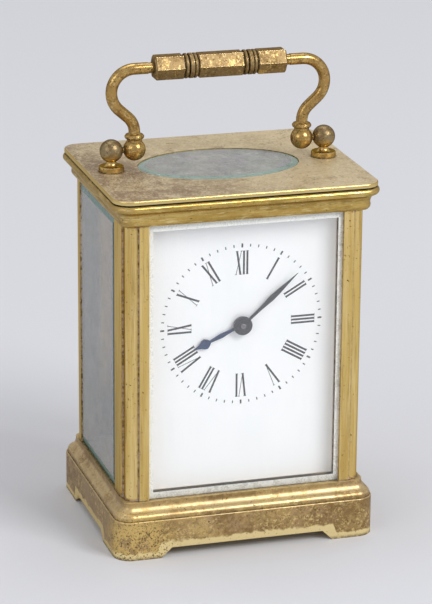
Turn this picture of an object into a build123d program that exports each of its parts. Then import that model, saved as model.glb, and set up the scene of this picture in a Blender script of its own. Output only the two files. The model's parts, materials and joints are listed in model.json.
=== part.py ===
from build123d import *
import math
import os

# A brass carriage clock with a bail handle, an eight-day going barrel and a platform lever escapement.
# Millimetres. The dial faces -Y, +X is to the dial's right and +Z is up, with the origin under the base.

# Case
base_width = 82.0
base_depth = 68.3
base_corner = 5.4
base_wall = 2.6
plinth_height = 12.3
deck_thickness = 5.5
base_step = 0.5
ovolo_run = 1.4
ovolo_rise = 2.2
cove_run = 1.2
cove_rise = 3.0
plinth_edge = 0.35
ovolo_bulge = 0.55
cove_hollow = 0.45
foot_height = 3.1
foot_slope = 3.3
front_foot_length = 13.8
side_foot_length = 16.8
body_setback = 3.5
body_height = 86.1

# Pillars
pillar_width = 7.4
front_pillar_depth = 12.4
rear_pillar_depth = 7.1
front_flat = 3.0
quirk_depth = 0.8
front_quirk_width = 2.1
rear_quirk_width = 1.2
reed_radius = 2.4

# Glasses
glass_thickness = 2.0
slot_depth = 0.6
glass_rebate = 1.2
glass_clearance = 0.05
front_glass_setback = 1.1
front_bevel_width = 2.7
front_bevel_depth = 0.7
side_glass_setback = 0.1
side_bevel_width = 3.3
side_bevel_depth = 0.9

# Cornice and top plate
cornice_foot_rise = 2.1
cornice_foot_run = 0.7
cornice_foot_bulge = 0.4
cornice_cove_rise = 2.6
cornice_cove_run = 1.6
cornice_cove_hollow = 0.5
cornice_soffit = 0.6
bead_radius = 1.2
bead_projection = 0.5
moulding_depth = 5.0
moulding_overlap = 0.4
cornice_opening_side = 12.4
cornice_opening_end = 13.35
cornice_opening_corner = 2.0
shadow_gap = 0.4
seat_inset = 3.2
top_plate_overhang = -0.2
top_plate_thickness = 1.2
top_plate_edge = 0.45
oval_side = 16.0
oval_end = 16.95
oval_rebate = 1.2
oval_rebate_depth = 0.6
oval_rim = 1.2
oval_rim_depth = 1.1
oval_bevel = 2.2
oval_bevel_depth = 0.6
oval_glass_rise = 0.3

# Handle
pivot_height = 6.25
finial_inset = 7.5
finial_ball_radius = 3.5
finial_neck_radius = 1.5
finial_neck_flare = 0.9
finial_neck_hollow = 0.3
finial_foot_radius = 3.75
finial_foot_height = 1.7
finial_foot_edge = 0.2
finial_stud_radius = 1.4
finial_stud_length = 5.0
arm_offset = 7.15
arm_ball_radius = 3.4
arm_neck_radius = 2.3
arm_rod_radius = 1.75
arm_collar_radius = 2.95
arm_collar_rise = 4.1
arm_collar_height = 1.2
arm_tenon_radius = 1.6
arm_tenon_length = 1.7
pivot_pin_radius = 0.9
pivot_pin_depth = 2.6
pivot_head_radius = 1.3
pivot_head_depth = 0.9
handle_rise = 24.7
handle_bulge_radius = 7.05
handle_root_radius = 6.0
handle_lean = 48.0
grip_inset = 5.85
grip_flats = 7.0
grip_middle_length = 14.4
grip_ring_radius = 3.8
grip_ring_width = 0.85
grip_broad_ring_width = 1.3
grip_ring_edge = 0.2
grip_groove_radius = 2.6
grip_groove_width = 0.45
grip_quirk_depth = 0.6
grip_quirk_width = 0.2
arm_engagement = 1.5
grip_end_chamfer = 0.5

# Rear door
door_thickness = 3.0
door_frame_width = 5.0
door_clearance = 0.2
door_setback = 0.2
door_lip = 1.0
door_seat_depth = 2.0
door_glass_thickness = 1.6
door_pin_radius = 0.9
door_pin_length = 1.6
door_knob_radius = 2.0
door_knob_projection = 3.6
door_knob_shank_radius = 0.85

# Dial and hands
dial_thickness = 1.4
dial_face_setback = 6.2
dial_margin = 0.4
dial_bottom_gap = 1.0
dial_edge = 0.3
dial_hole_radius = 2.4
dial_foot_radius = 1.0
dial_foot_inset = 9.0
hand_thickness = 0.3
hand_boss_step = 0.3
hour_hand_lift = 0.6
minute_hand_lift = 1.3
hand_boss_radius = 2.9
minute_hand_length = 22.9
minute_hand_width = 1.7
minute_hand_angle = 48.6
hour_hand_length = 16.6
hour_bulge_radius = 12.7
hour_bulge_width = 3.3
hour_hand_angle = 246.0

# Movement plates, behind the dial
plate_thickness = 1.8
front_plate_gap = 4.4
plate_spacing = 28.0
plate_side_gap = 4.1
plate_corner = 1.5
platform_headroom = 10.6
plate_pillar_radius = 2.2
plate_pillar_inset = 4.0
plate_screw_radius = 1.15
plate_screw_engagement = 2.5
plate_screw_head_radius = 2.6
plate_screw_head_height = 1.3
plate_screw_slot = 0.8
arbor_play = 0.05
end_play = 0.15

# Going barrel and train: teeth and modules
barrel_x = -4.0
barrel_drop = 27.6
barrel_teeth = 80
barrel_module = 0.45
barrel_front_layer = 8.2
barrel_length = 14.0
barrel_wheel_thickness = 1.5
barrel_wall = 0.8
barrel_rim = 0.5
barrel_end = 1.0
barrel_arbor_radius = 1.9
barrel_hub_radius = 4.6
mainspring_inner_radius = 8.6
mainspring_play = 0.3
winding_square = 2.6
setting_square = 1.9
square_reach = 7.0
ratchet_teeth = 24
ratchet_radius = 6.0
ratchet_thickness = 1.2
ratchet_gap = 0.3
ratchet_depth = 0.9
click_left = 9.5
click_rise = 2.5
click_reach = 6.0
click_clearance = 0.15
click_hub_radius = 1.9
click_screw_radius = 0.8
click_screw_head_radius = 1.6
click_screw_head_height = 0.8
click_spring_left = 6.5
click_spring_drop = 8.5
intermediate_leaves = 10
intermediate_teeth = 60
intermediate_module = 0.4
centre_leaves = 10
centre_teeth = 80
centre_module = 0.3
third_leaves = 8
third_teeth = 60
third_module = 0.27
contrate_leaves = 8
contrate_teeth = 56
contrate_module = 0.26
contrate_x = -7.0
contrate_rise = 15.4
escape_leaves = 7
wheel_thickness = 0.9
wheel_hub_radius = 2.0
root_depth = 1.2
arbor_radius = 0.75
pivot_radius = 0.4
pinion_margin = 1.0
intermediate_wheel_layer = 2.7
centre_wheel_layer = 24.8
third_wheel_layer = 20.8
contrate_wheel_layer = 18.2
crown_depth = 3.0
crown_tooth = 1.6
crown_gap_share = 0.56
crown_clearance = 1.22
escape_mesh_depth = 0.35
crown_wall = 0.7

# Motion work, between the front plate and the dial
cannon_leaves = 12
minute_teeth = 36
minute_leaves = 10
hour_teeth = 40
motion_module = 0.3
motion_wheel_thickness = 0.6
motion_gap = 0.35
cannon_radius = 0.95
centre_pin_radius = 0.55
hand_pin_radius = 0.85
hour_pipe_radius = 1.75
minute_stud_radius = 0.6
minute_stud_angle = 205.0

# Platform escapement, on top of the plates
platform_thickness = 1.4
platform_width = 36.0
platform_corner = 2.0
escape_teeth = 15
escape_radius = 3.3
escape_thickness = 0.35
escape_hub_radius = 0.9
escape_level = 0.8
escape_arbor_radius = 0.4
bracket_drop = 3.6
bracket_width = 3.0
bracket_thickness = 1.2
bracket_reach = 2.7
platform_pivot_radius = 0.2
jewel_depth = 0.4
lever_thickness = 0.4
lever_staff_radius = 0.5
lever_width = 0.8
pallet_distance = 4.3
balance_distance = 6.6
balance_radius = 7.3
balance_rim = 0.9
balance_arm_width = 1.1
balance_hub_radius = 1.3
balance_thickness = 0.9
balance_level = 4.0
balance_staff_radius = 0.5
roller_radius = 1.5
roller_thickness = 0.5
impulse_pin_radius = 0.22
impulse_pin_inset = 0.35
bridge_level = 2.7
bridge_thickness = 0.9
bridge_width = 7.6
bridge_shift = 1.5
bridge_reach = 6.0
hairspring_turns = 4
hairspring_pitch = 0.7
hairspring_ribbon = 0.12
hairspring_height = 0.3
hairspring_inner_radius = 1.3
hairspring_level = 0.9
collet_height = 1.5
collet_clearance = 0.02
cock_level = 6.8
cock_thickness = 1.3
cock_nose_radius = 2.6
cock_foot_shift = 3.0
cock_foot_length = 8.4
cock_foot_depth = 4.2
cock_foot_inset = 3.45
stud_width = 0.8
regulator_radius = 2.3
regulator_bore = 1.2
regulator_reach = 8.5
regulator_thickness = 0.4
regulator_play = 0.05
regulator_cap_radius = 1.7
vertical_play = 0.08

# Screws
screw_shank_radius = 1.3
fit_clearance = 0.05
screw_hole_radius = screw_shank_radius + fit_clearance
screw_head_radius = 2.4
screw_head_height = 1.4
screw_slot_width = 0.7
screw_slot_depth = 0.5
screw_engagement = 6.0
platform_screw_radius = 0.7
platform_screw_inset = 2.2
platform_screw_head = 1.3
platform_screw_height = 0.8
platform_screw_slot = 0.4

# Heights and faces worked out from the sizes above
deck_z = plinth_height + ovolo_rise + cove_rise
cornice_z = deck_z + body_height
bead_z = cornice_z + cornice_foot_rise + cornice_cove_rise
cornice_top = bead_z + 2 * bead_radius
top_plate_z = cornice_top + shadow_gap
top_z = top_plate_z + top_plate_thickness
top_screw_seat = top_plate_z - screw_head_height - 2 * fit_clearance
pivot_z = top_z + pivot_height
finial_spacing = base_width - 2 * finial_inset
arm_spacing = finial_spacing - 2 * arm_offset
grip_length = arm_spacing - 2 * grip_inset
oval_length = base_width - 2 * oval_side
oval_width = base_depth - 2 * oval_end
cornice_opening_width = base_width - 2 * cornice_opening_side
cornice_opening_depth = base_depth - 2 * cornice_opening_end
body_x = base_width / 2 - body_setback
body_y = base_depth / 2 - body_setback
aperture_x = body_x - pillar_width
side_front_y = -body_y + front_pillar_depth
side_rear_y = body_y - rear_pillar_depth
pillar_centre_x = body_x - pillar_width / 2
plate_width = 2 * (aperture_x - plate_side_gap)
plate_height = body_height - platform_headroom
dial_face_y = -body_y + dial_face_setback
dial_back_y = dial_face_y + dial_thickness
front_plate_y = dial_back_y + front_plate_gap
inner_y = front_plate_y + plate_thickness
back_plate_y = inner_y + plate_spacing
back_plate_rear = back_plate_y + plate_thickness
plate_top_z = deck_z + plate_height
platform_top = plate_top_z + platform_thickness
crown_radius = contrate_teeth * contrate_module / 2
dial_centre_height = plate_top_z - crown_clearance - crown_radius - contrate_rise
knob_z = deck_z + body_height / 2
bead_width = base_width + 2 * (top_plate_overhang + bead_projection)
bead_depth = base_depth + 2 * (top_plate_overhang + bead_projection)
bead_corner = base_corner + bead_projection
movement_screw_x = plate_width / 2 - plate_pillar_inset
lower_pillar_y = (inner_y + back_plate_y) / 2
square_end = back_plate_rear + square_reach
minute_hand_y = dial_face_y - minute_hand_lift
minute_boss_front = minute_hand_y - hand_thickness - 2 * hand_boss_step
cannon_front = minute_boss_front + hand_boss_step
motion_layer_minute = front_plate_y - motion_gap - motion_wheel_thickness
motion_layer_hour = motion_layer_minute - motion_gap - motion_wheel_thickness
hour_module = motion_module * (cannon_leaves + minute_teeth) / (minute_leaves + hour_teeth)


def save(name, shape):
    shape.label = name
    export_step(shape, f"parts/{name}.step")


def facing_front(y):
    """A drawing plane whose x is the clock's X and whose y is its Z, seen from the dial side."""
    return Plane(origin=(0, y, 0), x_dir=(1, 0, 0), z_dir=(0, -1, 0))


def along_y(sketch, front, rear):
    return extrude(facing_front(rear) * sketch, rear - front)


def along_z(sketch, low, high):
    return extrude(Plane.XY.offset(low) * sketch, high - low)


def along_x(sketch, low, high):
    """Extrudes a sketch whose x is the clock's Y and whose y is its Z."""
    return extrude(Plane(origin=(low, 0, 0), x_dir=(0, 1, 0), z_dir=(1, 0, 0)) * sketch, high - low)


def rod_y(x, z, radius, front, rear):
    return along_y(Pos(x, z) * Circle(radius), front, rear)


def rod_z(x, y, radius, low, high):
    return along_z(Pos(x, y) * Circle(radius), low, high)


def turned(points):
    """A turned piece on the Z axis, from (radius, height) points that start and end on the axis."""
    profile = make_face(Polyline(*[(radius, 0, height) for radius, height in points], close=True))
    return revolve(profile, Axis.Z, 360)


def polar(radius, degrees):
    angle = math.radians(degrees)
    return radius * math.cos(angle), radius * math.sin(angle)


def wire_face(pieces):
    """A face inside lines and arcs that meet end to end."""
    return make_face(Wire([edge for piece in pieces for edge in piece.edges()]))


def mouldings(outline, edges):
    """Sweeps a profile, drawn with x outward from the outline and y up, right round it."""
    path = outline.wire()
    start, along = path @ 0, path % 0
    outward = along.cross(Vector(0, 0, 1))
    if outward.dot(start) < 0:
        along, outward = along * -1, outward * -1
    section = Plane(origin=(start.X, start.Y, 0), x_dir=outward, z_dir=along * -1) * wire_face(edges)
    return sweep(section, path=path)


# Base
def base_foot_cut(half_bottom, half_top, reach):
    corners = [(-half_bottom, 0), (half_bottom, 0), (half_top, foot_height), (-half_top, foot_height)]
    return along_y(make_face(Polyline(*corners, close=True)), -reach, reach)


def base_moulding_edges():
    inner = -moulding_depth
    ovolo_start = (-base_step, plinth_height)
    ovolo_end = (-base_step - ovolo_run, plinth_height + ovolo_rise)
    cove_end = (-base_step - ovolo_run - cove_run, deck_z)
    return [
        Line((inner, plinth_height), ovolo_start),
        SagittaArc(ovolo_start, ovolo_end, -ovolo_bulge),
        SagittaArc(ovolo_end, cove_end, cove_hollow),
        Line(cove_end, (inner, deck_z)),
        Line((inner, deck_z), (inner, plinth_height)),
    ]


def pillar_depth(end):
    return front_pillar_depth if end < 0 else rear_pillar_depth


def screw_place(side, end):
    return side * pillar_centre_x, end * (body_y - pillar_depth(end) / 2)


def screw_places():
    """Each pillar is held by one screw below and one above."""
    return [screw_place(side, end) for side in (-1, 1) for end in (-1, 1)]


def make_base():
    outline = RectangleRounded(base_width, base_depth, base_corner)
    plinth = fillet(along_z(outline, 0, plinth_height).faces().sort_by(Axis.Z)[-1].edges(), plinth_edge)
    core = offset(outline, moulding_overlap - moulding_depth)
    base = plinth + along_z(core, plinth_height - 1, deck_z) + mouldings(outline, base_moulding_edges())
    base -= along_z(offset(outline, -base_wall), 0, deck_z - deck_thickness)
    front_half = base_width / 2 - front_foot_length
    base -= base_foot_cut(front_half, front_half - foot_slope, base_depth)
    side_half = base_depth / 2 - side_foot_length
    base -= Rot(0, 0, 90) * base_foot_cut(side_half, side_half - foot_slope, base_width)
    for x, y in screw_places():
        base -= rod_z(x, y, screw_hole_radius, deck_z - deck_thickness, deck_z)
    for x in (-movement_screw_x, movement_screw_x):
        base -= rod_z(x, lower_pillar_y, screw_hole_radius, deck_z - deck_thickness, deck_z)
    for pane in glass_slots(deck_z - slot_depth, deck_z):
        base -= pane
    x, y = door_hinge()
    base -= rod_z(x, y, door_pin_radius + arbor_play, deck_z - door_pin_length, deck_z)
    return base


# Glasses stand in shallow slots above and below, and in rebates down the pillars
front_pane_half = aperture_x + glass_rebate
front_pane_y = -body_y + front_glass_setback
side_pane_half = (side_rear_y - side_front_y) / 2 + glass_rebate
side_pane_middle = (side_rear_y + side_front_y) / 2
side_pane_x = body_x - side_glass_setback


def slot_width(bevel_width, bevel_depth):
    """How thick a pane is where it leaves its rebate, part of the way up its bevel, with clearance."""
    return glass_thickness - bevel_depth * (1 - glass_rebate / bevel_width) + 2 * glass_clearance


def glass_slots(low, high):
    """Cutters for the three fixed panes: the front one, the left one and the right one."""
    middle, height = (low + high) / 2, high - low
    width = slot_width(front_bevel_width, front_bevel_depth)
    rear = front_pane_y + glass_thickness + glass_clearance
    slot = Box(2 * (front_pane_half + glass_clearance), width, height)
    cutters = [Pos(0, rear - width / 2, middle) * slot]
    width = slot_width(side_bevel_width, side_bevel_depth)
    inner = side_pane_x - glass_thickness - glass_clearance
    for side in (-1, 1):
        slot = Box(width, 2 * (side_pane_half + glass_clearance), height)
        cutters.append(Pos(side * (inner + width / 2), side_pane_middle, middle) * slot)
    return cutters


def bevelled_pane(width, bevel_width, bevel_depth):
    """A pane drawn upright in XZ with its front face at y = 0 and a ground bevel round the front."""
    height = body_height + 2 * slot_depth - 2 * glass_clearance
    pane = Pos(0, glass_thickness / 2, 0) * Box(width, glass_thickness, height)
    front = pane.faces().sort_by(Axis.Y)[0]
    return chamfer(front.edges(), bevel_width, bevel_depth, reference=front)


def make_front_glass():
    pane = bevelled_pane(2 * front_pane_half, front_bevel_width, front_bevel_depth)
    return Pos(0, front_pane_y, deck_z + body_height / 2) * pane


def make_side_glass(side):
    pane = bevelled_pane(2 * side_pane_half, side_bevel_width, side_bevel_depth)
    return Pos(side * side_pane_x, side_pane_middle, deck_z + body_height / 2) * Rot(0, 0, side * 90) * pane


# Pillars
def pillar_outline(depth, quirk_width):
    """A front right pillar's section, seen from above: a reed between two flats."""
    front = -body_y
    reed_x = body_x - quirk_depth - reed_radius
    reed_y = front + quirk_depth + reed_radius
    bend = reed_radius * math.sqrt(0.5)
    points = [
        (reed_x, reed_y - reed_radius),
        (aperture_x + front_flat, reed_y - reed_radius),
        (aperture_x + front_flat, front),
        (aperture_x, front),
        (aperture_x, front + depth),
        (body_x, front + depth),
        (body_x, reed_y + quirk_width),
        (body_x - quirk_depth, reed_y + quirk_width),
        (body_x - quirk_depth, reed_y),
    ]
    reed = ThreePointArc(points[-1], (reed_x + bend, reed_y - bend), points[0])
    return wire_face([Polyline(*points), reed])


def make_pillar(side, end):
    quirk_width = front_quirk_width if end < 0 else rear_quirk_width
    pillar = along_z(pillar_outline(pillar_depth(end), quirk_width), deck_z, cornice_z)
    if side < 0:
        pillar = mirror(pillar, Plane.YZ)
    if end > 0:
        pillar = mirror(pillar, Plane.XZ)
    for low, high in ((deck_z, deck_z + screw_engagement), (cornice_z - screw_engagement, cornice_z)):
        pillar -= rod_z(*screw_place(side, end), screw_hole_radius, low, high)
    front_slot, left_slot, right_slot = glass_slots(deck_z, cornice_z)
    if end < 0:
        pillar -= front_slot
    return pillar - (left_slot if side < 0 else right_slot)


# Cornice and top plate
def cornice_edges():
    foot = -bead_projection - cornice_foot_run - cornice_cove_run - cornice_soffit
    step = foot + cornice_foot_run
    shoulder = step + cornice_cove_run
    foot_top = cornice_z + cornice_foot_rise
    inner = -moulding_depth
    return [
        Line((inner, cornice_z), (foot, cornice_z)),
        SagittaArc((foot, cornice_z), (step, foot_top), -cornice_foot_bulge),
        SagittaArc((step, foot_top), (shoulder, bead_z), cornice_cove_hollow),
        Line((shoulder, bead_z), (-bead_radius, bead_z)),
        ThreePointArc((-bead_radius, bead_z), (0, bead_z + bead_radius), (-bead_radius, cornice_top)),
        Line((-bead_radius, cornice_top), (inner, cornice_top)),
        Line((inner, cornice_top), (inner, cornice_z)),
    ]


def make_cornice():
    outline = RectangleRounded(bead_width, bead_depth, bead_corner)
    core = offset(outline, moulding_overlap - moulding_depth)
    seat = offset(outline, -seat_inset)
    opening = RectangleRounded(cornice_opening_width, cornice_opening_depth, cornice_opening_corner)
    cornice = along_z(core, cornice_z, cornice_top) + mouldings(outline, cornice_edges())
    cornice += along_z(seat, cornice_top - bead_radius / 2, top_plate_z)
    cornice -= along_z(opening, cornice_z, top_plate_z)
    for x, y in screw_places():
        cornice -= rod_z(x, y, screw_hole_radius, cornice_z, top_plate_z)
        cornice -= rod_z(x, y, screw_head_radius + fit_clearance, top_screw_seat, top_plate_z)
    stud_bore = finial_stud_radius + fit_clearance
    for side in (-1, 1):
        cornice -= rod_z(side * finial_spacing / 2, 0, stud_bore, cornice_z, top_plate_z)
    for pane in glass_slots(cornice_z, cornice_z + slot_depth):
        cornice -= pane
    x, y = door_hinge()
    cornice -= rod_z(x, y, door_pin_radius + arbor_play, cornice_z, cornice_z + door_pin_length)
    return cornice


def oval(extra):
    return Ellipse(oval_length / 2 + extra, oval_width / 2 + extra)


def make_top_plate():
    outline = RectangleRounded(
        base_width + 2 * top_plate_overhang, base_depth + 2 * top_plate_overhang, base_corner
    )
    plate = along_z(outline, top_plate_z, top_z)
    plate = fillet(plate.faces().sort_by(Axis.Z)[-1].edges(), top_plate_edge)
    plate += along_z(oval(oval_rebate + oval_rim), top_plate_z - oval_rim_depth, top_plate_z + 0.1)
    plate -= along_z(oval(0), top_plate_z - oval_rim_depth, top_z)
    plate -= along_z(oval(oval_rebate), top_plate_z - oval_rim_depth, top_z - oval_rebate_depth)
    for side in (-1, 1):
        plate -= rod_z(side * finial_spacing / 2, 0, finial_stud_radius + fit_clearance, top_plate_z, top_z)
    return plate


def make_top_glass():
    flange_top = top_z - oval_rebate_depth
    glass = along_z(oval(oval_rebate - glass_clearance), top_plate_z - oval_rim_depth + 0.1, flange_top)
    glass += along_z(oval(-glass_clearance), flange_top - 0.1, top_z + oval_glass_rise)
    crown = glass.faces().sort_by(Axis.Z)[-1]
    return chamfer(crown.edges(), oval_bevel, oval_bevel_depth, reference=crown)


# Handle
def make_finial(side):
    x = side * finial_spacing / 2
    foot_top = top_z + finial_foot_height
    profile = Polyline(
        (0, top_z - finial_stud_length),
        (finial_stud_radius, top_z - finial_stud_length),
        (finial_stud_radius, top_z),
        (finial_foot_radius, top_z),
        (finial_foot_radius, foot_top - finial_foot_edge),
        (finial_foot_radius - finial_foot_edge, foot_top),
        (finial_neck_radius + finial_neck_flare, foot_top),
    )
    neck_top = pivot_z - math.sqrt(finial_ball_radius**2 - finial_neck_radius**2)
    neck = SagittaArc(profile @ 1, (finial_neck_radius, neck_top), finial_neck_hollow)
    ball = ThreePointArc(
        (finial_neck_radius, neck_top), (finial_ball_radius, pivot_z), (0, pivot_z + finial_ball_radius)
    )
    axis_line = Line(ball @ 1, profile @ 0)
    face = Plane.XZ * wire_face([profile, neck, ball, axis_line])
    finial = Pos(x, 0, 0) * revolve(face, Axis.Z, 360)
    inner_end = side * (finial_spacing / 2 - finial_ball_radius)
    return finial - rod_x(inner_end + side * pivot_pin_depth, inner_end - side, pivot_pin_radius)


def rod_x(start, end, radius, z=pivot_z):
    return along_x(Pos(0, z) * Circle(radius), min(start, end), max(start, end))


# The pin's head is flush in the inner side of the arm's ball
pin_head_end = arm_spacing / 2 - math.sqrt(arm_ball_radius**2 - pivot_head_radius**2)
pin_head_seat = pin_head_end + pivot_head_depth


def make_pivot_pin(side):
    outer = finial_spacing / 2 - finial_ball_radius + pivot_pin_depth
    pin = rod_x(side * outer, side * pin_head_seat, pivot_pin_radius)
    return pin + rod_x(side * pin_head_seat, side * pin_head_end, pivot_head_radius)


def make_arm(side):
    x = arm_spacing / 2
    top = pivot_z + handle_rise
    reach = handle_bulge_radius * math.tan(math.radians((90 + handle_lean) / 2))
    knee = top - reach / math.tan(math.radians(handle_lean))
    collar_z = pivot_z + arm_collar_rise
    step = arm_collar_height / 2
    tenon_start = grip_length / 2 + arm_tenon_length
    path = FilletPolyline(
        (x, 0, collar_z - step),
        (x, 0, knee),
        (x + reach, 0, top),
        (tenon_start, 0, top),
        radius=[handle_root_radius, handle_bulge_radius],
    )
    rod = sweep(Plane(origin=path @ 0, z_dir=path % 0) * Circle(arm_rod_radius), path=path)
    ball_top = pivot_z + math.sqrt(arm_ball_radius**2 - arm_neck_radius**2)
    profile = [
        ThreePointArc(
            (0, pivot_z - arm_ball_radius), (arm_ball_radius, pivot_z), (arm_neck_radius, ball_top)
        ),
        Polyline(
            (arm_neck_radius, ball_top),
            (arm_neck_radius, collar_z - 1.4 * step),
            (0.93 * arm_collar_radius, collar_z - step),
            (arm_collar_radius, collar_z - 0.4 * step),
            (arm_collar_radius, collar_z + 0.2 * step),
            (0.88 * arm_collar_radius, collar_z + step),
            (1.15 * arm_rod_radius, collar_z + 1.4 * step),
            (0.9 * arm_rod_radius, collar_z + 2 * step),
            (0, collar_z + 2 * step),
            (0, pivot_z - arm_ball_radius),
        ),
    ]
    arm = rod + Pos(x, 0, 0) * revolve(Plane.XZ * wire_face(profile), Axis.Z, 360)
    arm += rod_x(tenon_start + arm_engagement, grip_length / 2 - arm_engagement, arm_tenon_radius, top)
    arm -= rod_x(x - arm_ball_radius - 1, x + arm_ball_radius + 1, pivot_pin_radius + arbor_play)
    arm -= rod_x(x - arm_ball_radius - 1, pin_head_seat + arbor_play, pivot_head_radius + arbor_play)
    return arm if side > 0 else mirror(arm, Plane.YZ)


def grip_rings(start, z):
    """The turned rings between two lengths of the grip, from left to right, and where they end."""
    quirk = (grip_quirk_width, grip_ring_radius - grip_quirk_depth)
    ring = (grip_ring_width, grip_ring_radius)
    broad = (grip_broad_ring_width, grip_ring_radius)
    groove = (grip_groove_width, grip_groove_radius)
    rings = []
    for width, radius in (quirk, ring, groove, broad, quirk, ring, quirk):
        piece = rod_x(start, start + width, radius, z)
        if radius == grip_ring_radius:
            piece = chamfer(piece.edges().filter_by(GeomType.CIRCLE), grip_ring_edge)
        rings.append(piece)
        start += width
    return rings, start


def make_grip():
    """Three hexagonal lengths with turned rings between them, bored at its ends for the arms."""
    half = grip_length / 2
    middle = grip_middle_length / 2
    z = pivot_z + handle_rise
    right_rings, end_start = grip_rings(middle, z)
    left_rings = [Pos(-end_start - middle, 0, 0) * ring for ring in right_rings]
    hexagon = Pos(0, z) * RegularPolygon(grip_flats / math.sqrt(3), 6)
    pieces = left_rings + right_rings
    for low, high in ((-half, -end_start), (-middle, middle), (end_start, half)):
        block = along_x(hexagon, low, high)
        pieces.append(chamfer(block.faces().filter_by(Axis.X).edges(), grip_end_chamfer))
    grip = pieces[0].fuse(*pieces[1:])
    for side in (-1, 1):
        grip -= rod_x(side * half, side * (half - arm_engagement), arm_tenon_radius, z)
    return grip


# Rear door, hung on pins in the base and the cornice
def door_hinge():
    edge = door_thickness / 2
    return aperture_x - door_clearance - edge, body_y - door_setback - edge


def door_plane_y():
    return door_hinge()[1]


def make_door_frame():
    hinge_x, y = door_hinge()
    low, high = deck_z + door_clearance, cornice_z - door_clearance
    half = aperture_x - door_clearance
    frame = Pos(0, y, (low + high) / 2) * Box(2 * half, door_thickness, high - low)
    for edge_x in (half, -half):
        edges = frame.edges().filter_by(Axis.Z).filter_by(lambda e, at=edge_x: abs(e.center().X - at) < 0.01)
        frame = fillet(edges, door_thickness / 2 - 0.01)
    inner_w, inner_h = 2 * (half - door_frame_width), high - low - 2 * door_frame_width
    centre_z = (low + high) / 2
    inner_face, outer_face = y - door_thickness / 2, y + door_thickness / 2
    frame -= Pos(0, y, centre_z) * Box(inner_w - 2 * door_lip, door_thickness, inner_h - 2 * door_lip)
    frame -= Pos(0, inner_face + door_seat_depth / 2, centre_z) * Box(inner_w, door_seat_depth, inner_h)
    for z in (low, high - door_pin_length):
        frame -= rod_z(hinge_x, y, door_pin_radius, z, z + door_pin_length)
    knob_x = -half + door_frame_width / 2
    return frame - rod_y(knob_x, knob_z, door_knob_shank_radius + fit_clearance, inner_face, outer_face)


def make_door_glass():
    low, high = deck_z + door_clearance, cornice_z - door_clearance
    half = aperture_x - door_clearance
    width = 2 * (half - door_frame_width) - 2 * glass_clearance
    height = high - low - 2 * door_frame_width - 2 * glass_clearance
    y = door_plane_y() - door_thickness / 2 + door_seat_depth - door_glass_thickness / 2
    return Pos(0, y, (low + high) / 2) * Box(width, door_glass_thickness, height)


def make_door_pins():
    x, y = door_hinge()
    low, high = deck_z + door_clearance, cornice_z - door_clearance
    lower = rod_z(x, y, door_pin_radius, deck_z - door_pin_length + 0.2, low + door_pin_length)
    upper = rod_z(x, y, door_pin_radius, high - door_pin_length, cornice_z + door_pin_length - 0.2)
    return Compound(children=[lower, upper])


def make_door_knob():
    x = -(aperture_x - door_clearance) + door_frame_width / 2
    y = door_plane_y() + door_thickness / 2
    radius, projection = door_knob_radius, door_knob_projection
    points = [
        (0, -door_thickness),
        (door_knob_shank_radius, -door_thickness),
        (door_knob_shank_radius, 0),
        (0.75 * radius, 0),
        (0.75 * radius, 0.14 * projection),
        (0.45 * radius, 0.28 * projection),
        (0.45 * radius, 0.42 * projection),
        (radius, 0.64 * projection),
        (radius, 0.8 * projection),
        (0.7 * radius, projection),
        (0, projection),
    ]
    return Pos(x, y, knob_z) * Rot(-90, 0, 0) * turned(points)


# Dial and hands
def make_dial():
    low, high = deck_z + dial_bottom_gap, cornice_z - dial_margin
    outline = Pos(0, (low + high) / 2) * Rectangle(2 * (aperture_x - dial_margin), high - low)
    dial = along_y(outline, dial_face_y, dial_back_y)
    dial = chamfer(dial.faces().sort_by(Axis.Y)[0].edges(), dial_edge)
    return dial - rod_y(0, dial_centre_height, dial_hole_radius, dial_face_y, dial_back_y)


def dial_foot_places():
    x, dz = plate_width / 2 - dial_foot_inset, 0.36 * plate_height
    middle = deck_z + plate_height / 2
    return [(-x, middle - dz), (x, middle - dz), (x, middle + dz), (-x, middle + dz)]


def make_dial_feet():
    return Compound(
        children=[rod_y(x, z, dial_foot_radius, dial_back_y, front_plate_y) for x, z in dial_foot_places()]
    )


def hand_face(points, degrees):
    """A hand's outline, from (distance, half width) points along it, turned to its place on the dial."""
    left = [(width, distance) for distance, width in points]
    right = [(-width, distance) for distance, width in reversed(points) if width > 0]
    return Rot(0, 0, -degrees) * make_face(Polyline(*left, *right, close=True))


def make_minute_hand():
    front = minute_hand_y - hand_thickness
    half = minute_hand_width / 2
    blade = hand_face(
        [
            (0.5, 0.45),
            (0.18 * minute_hand_length, 0.42),
            (0.34 * minute_hand_length, 0.62 * half),
            (0.52 * minute_hand_length, half),
            (0.64 * minute_hand_length, 0.86 * half),
            (minute_hand_length, 0.0),
        ],
        minute_hand_angle,
    )
    centre = Pos(0, dial_centre_height)
    hand = along_y(centre * blade, front, minute_hand_y)
    hand += rod_y(*centre_at, hand_boss_radius, front - hand_boss_step, minute_hand_y)
    hand += rod_y(*centre_at, 0.62 * hand_boss_radius, minute_boss_front, minute_hand_y)
    hand -= rod_y(*centre_at, cannon_radius, cannon_front, minute_hand_y)
    return hand - rod_y(*centre_at, centre_pin_radius, minute_boss_front, cannon_front)


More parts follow.
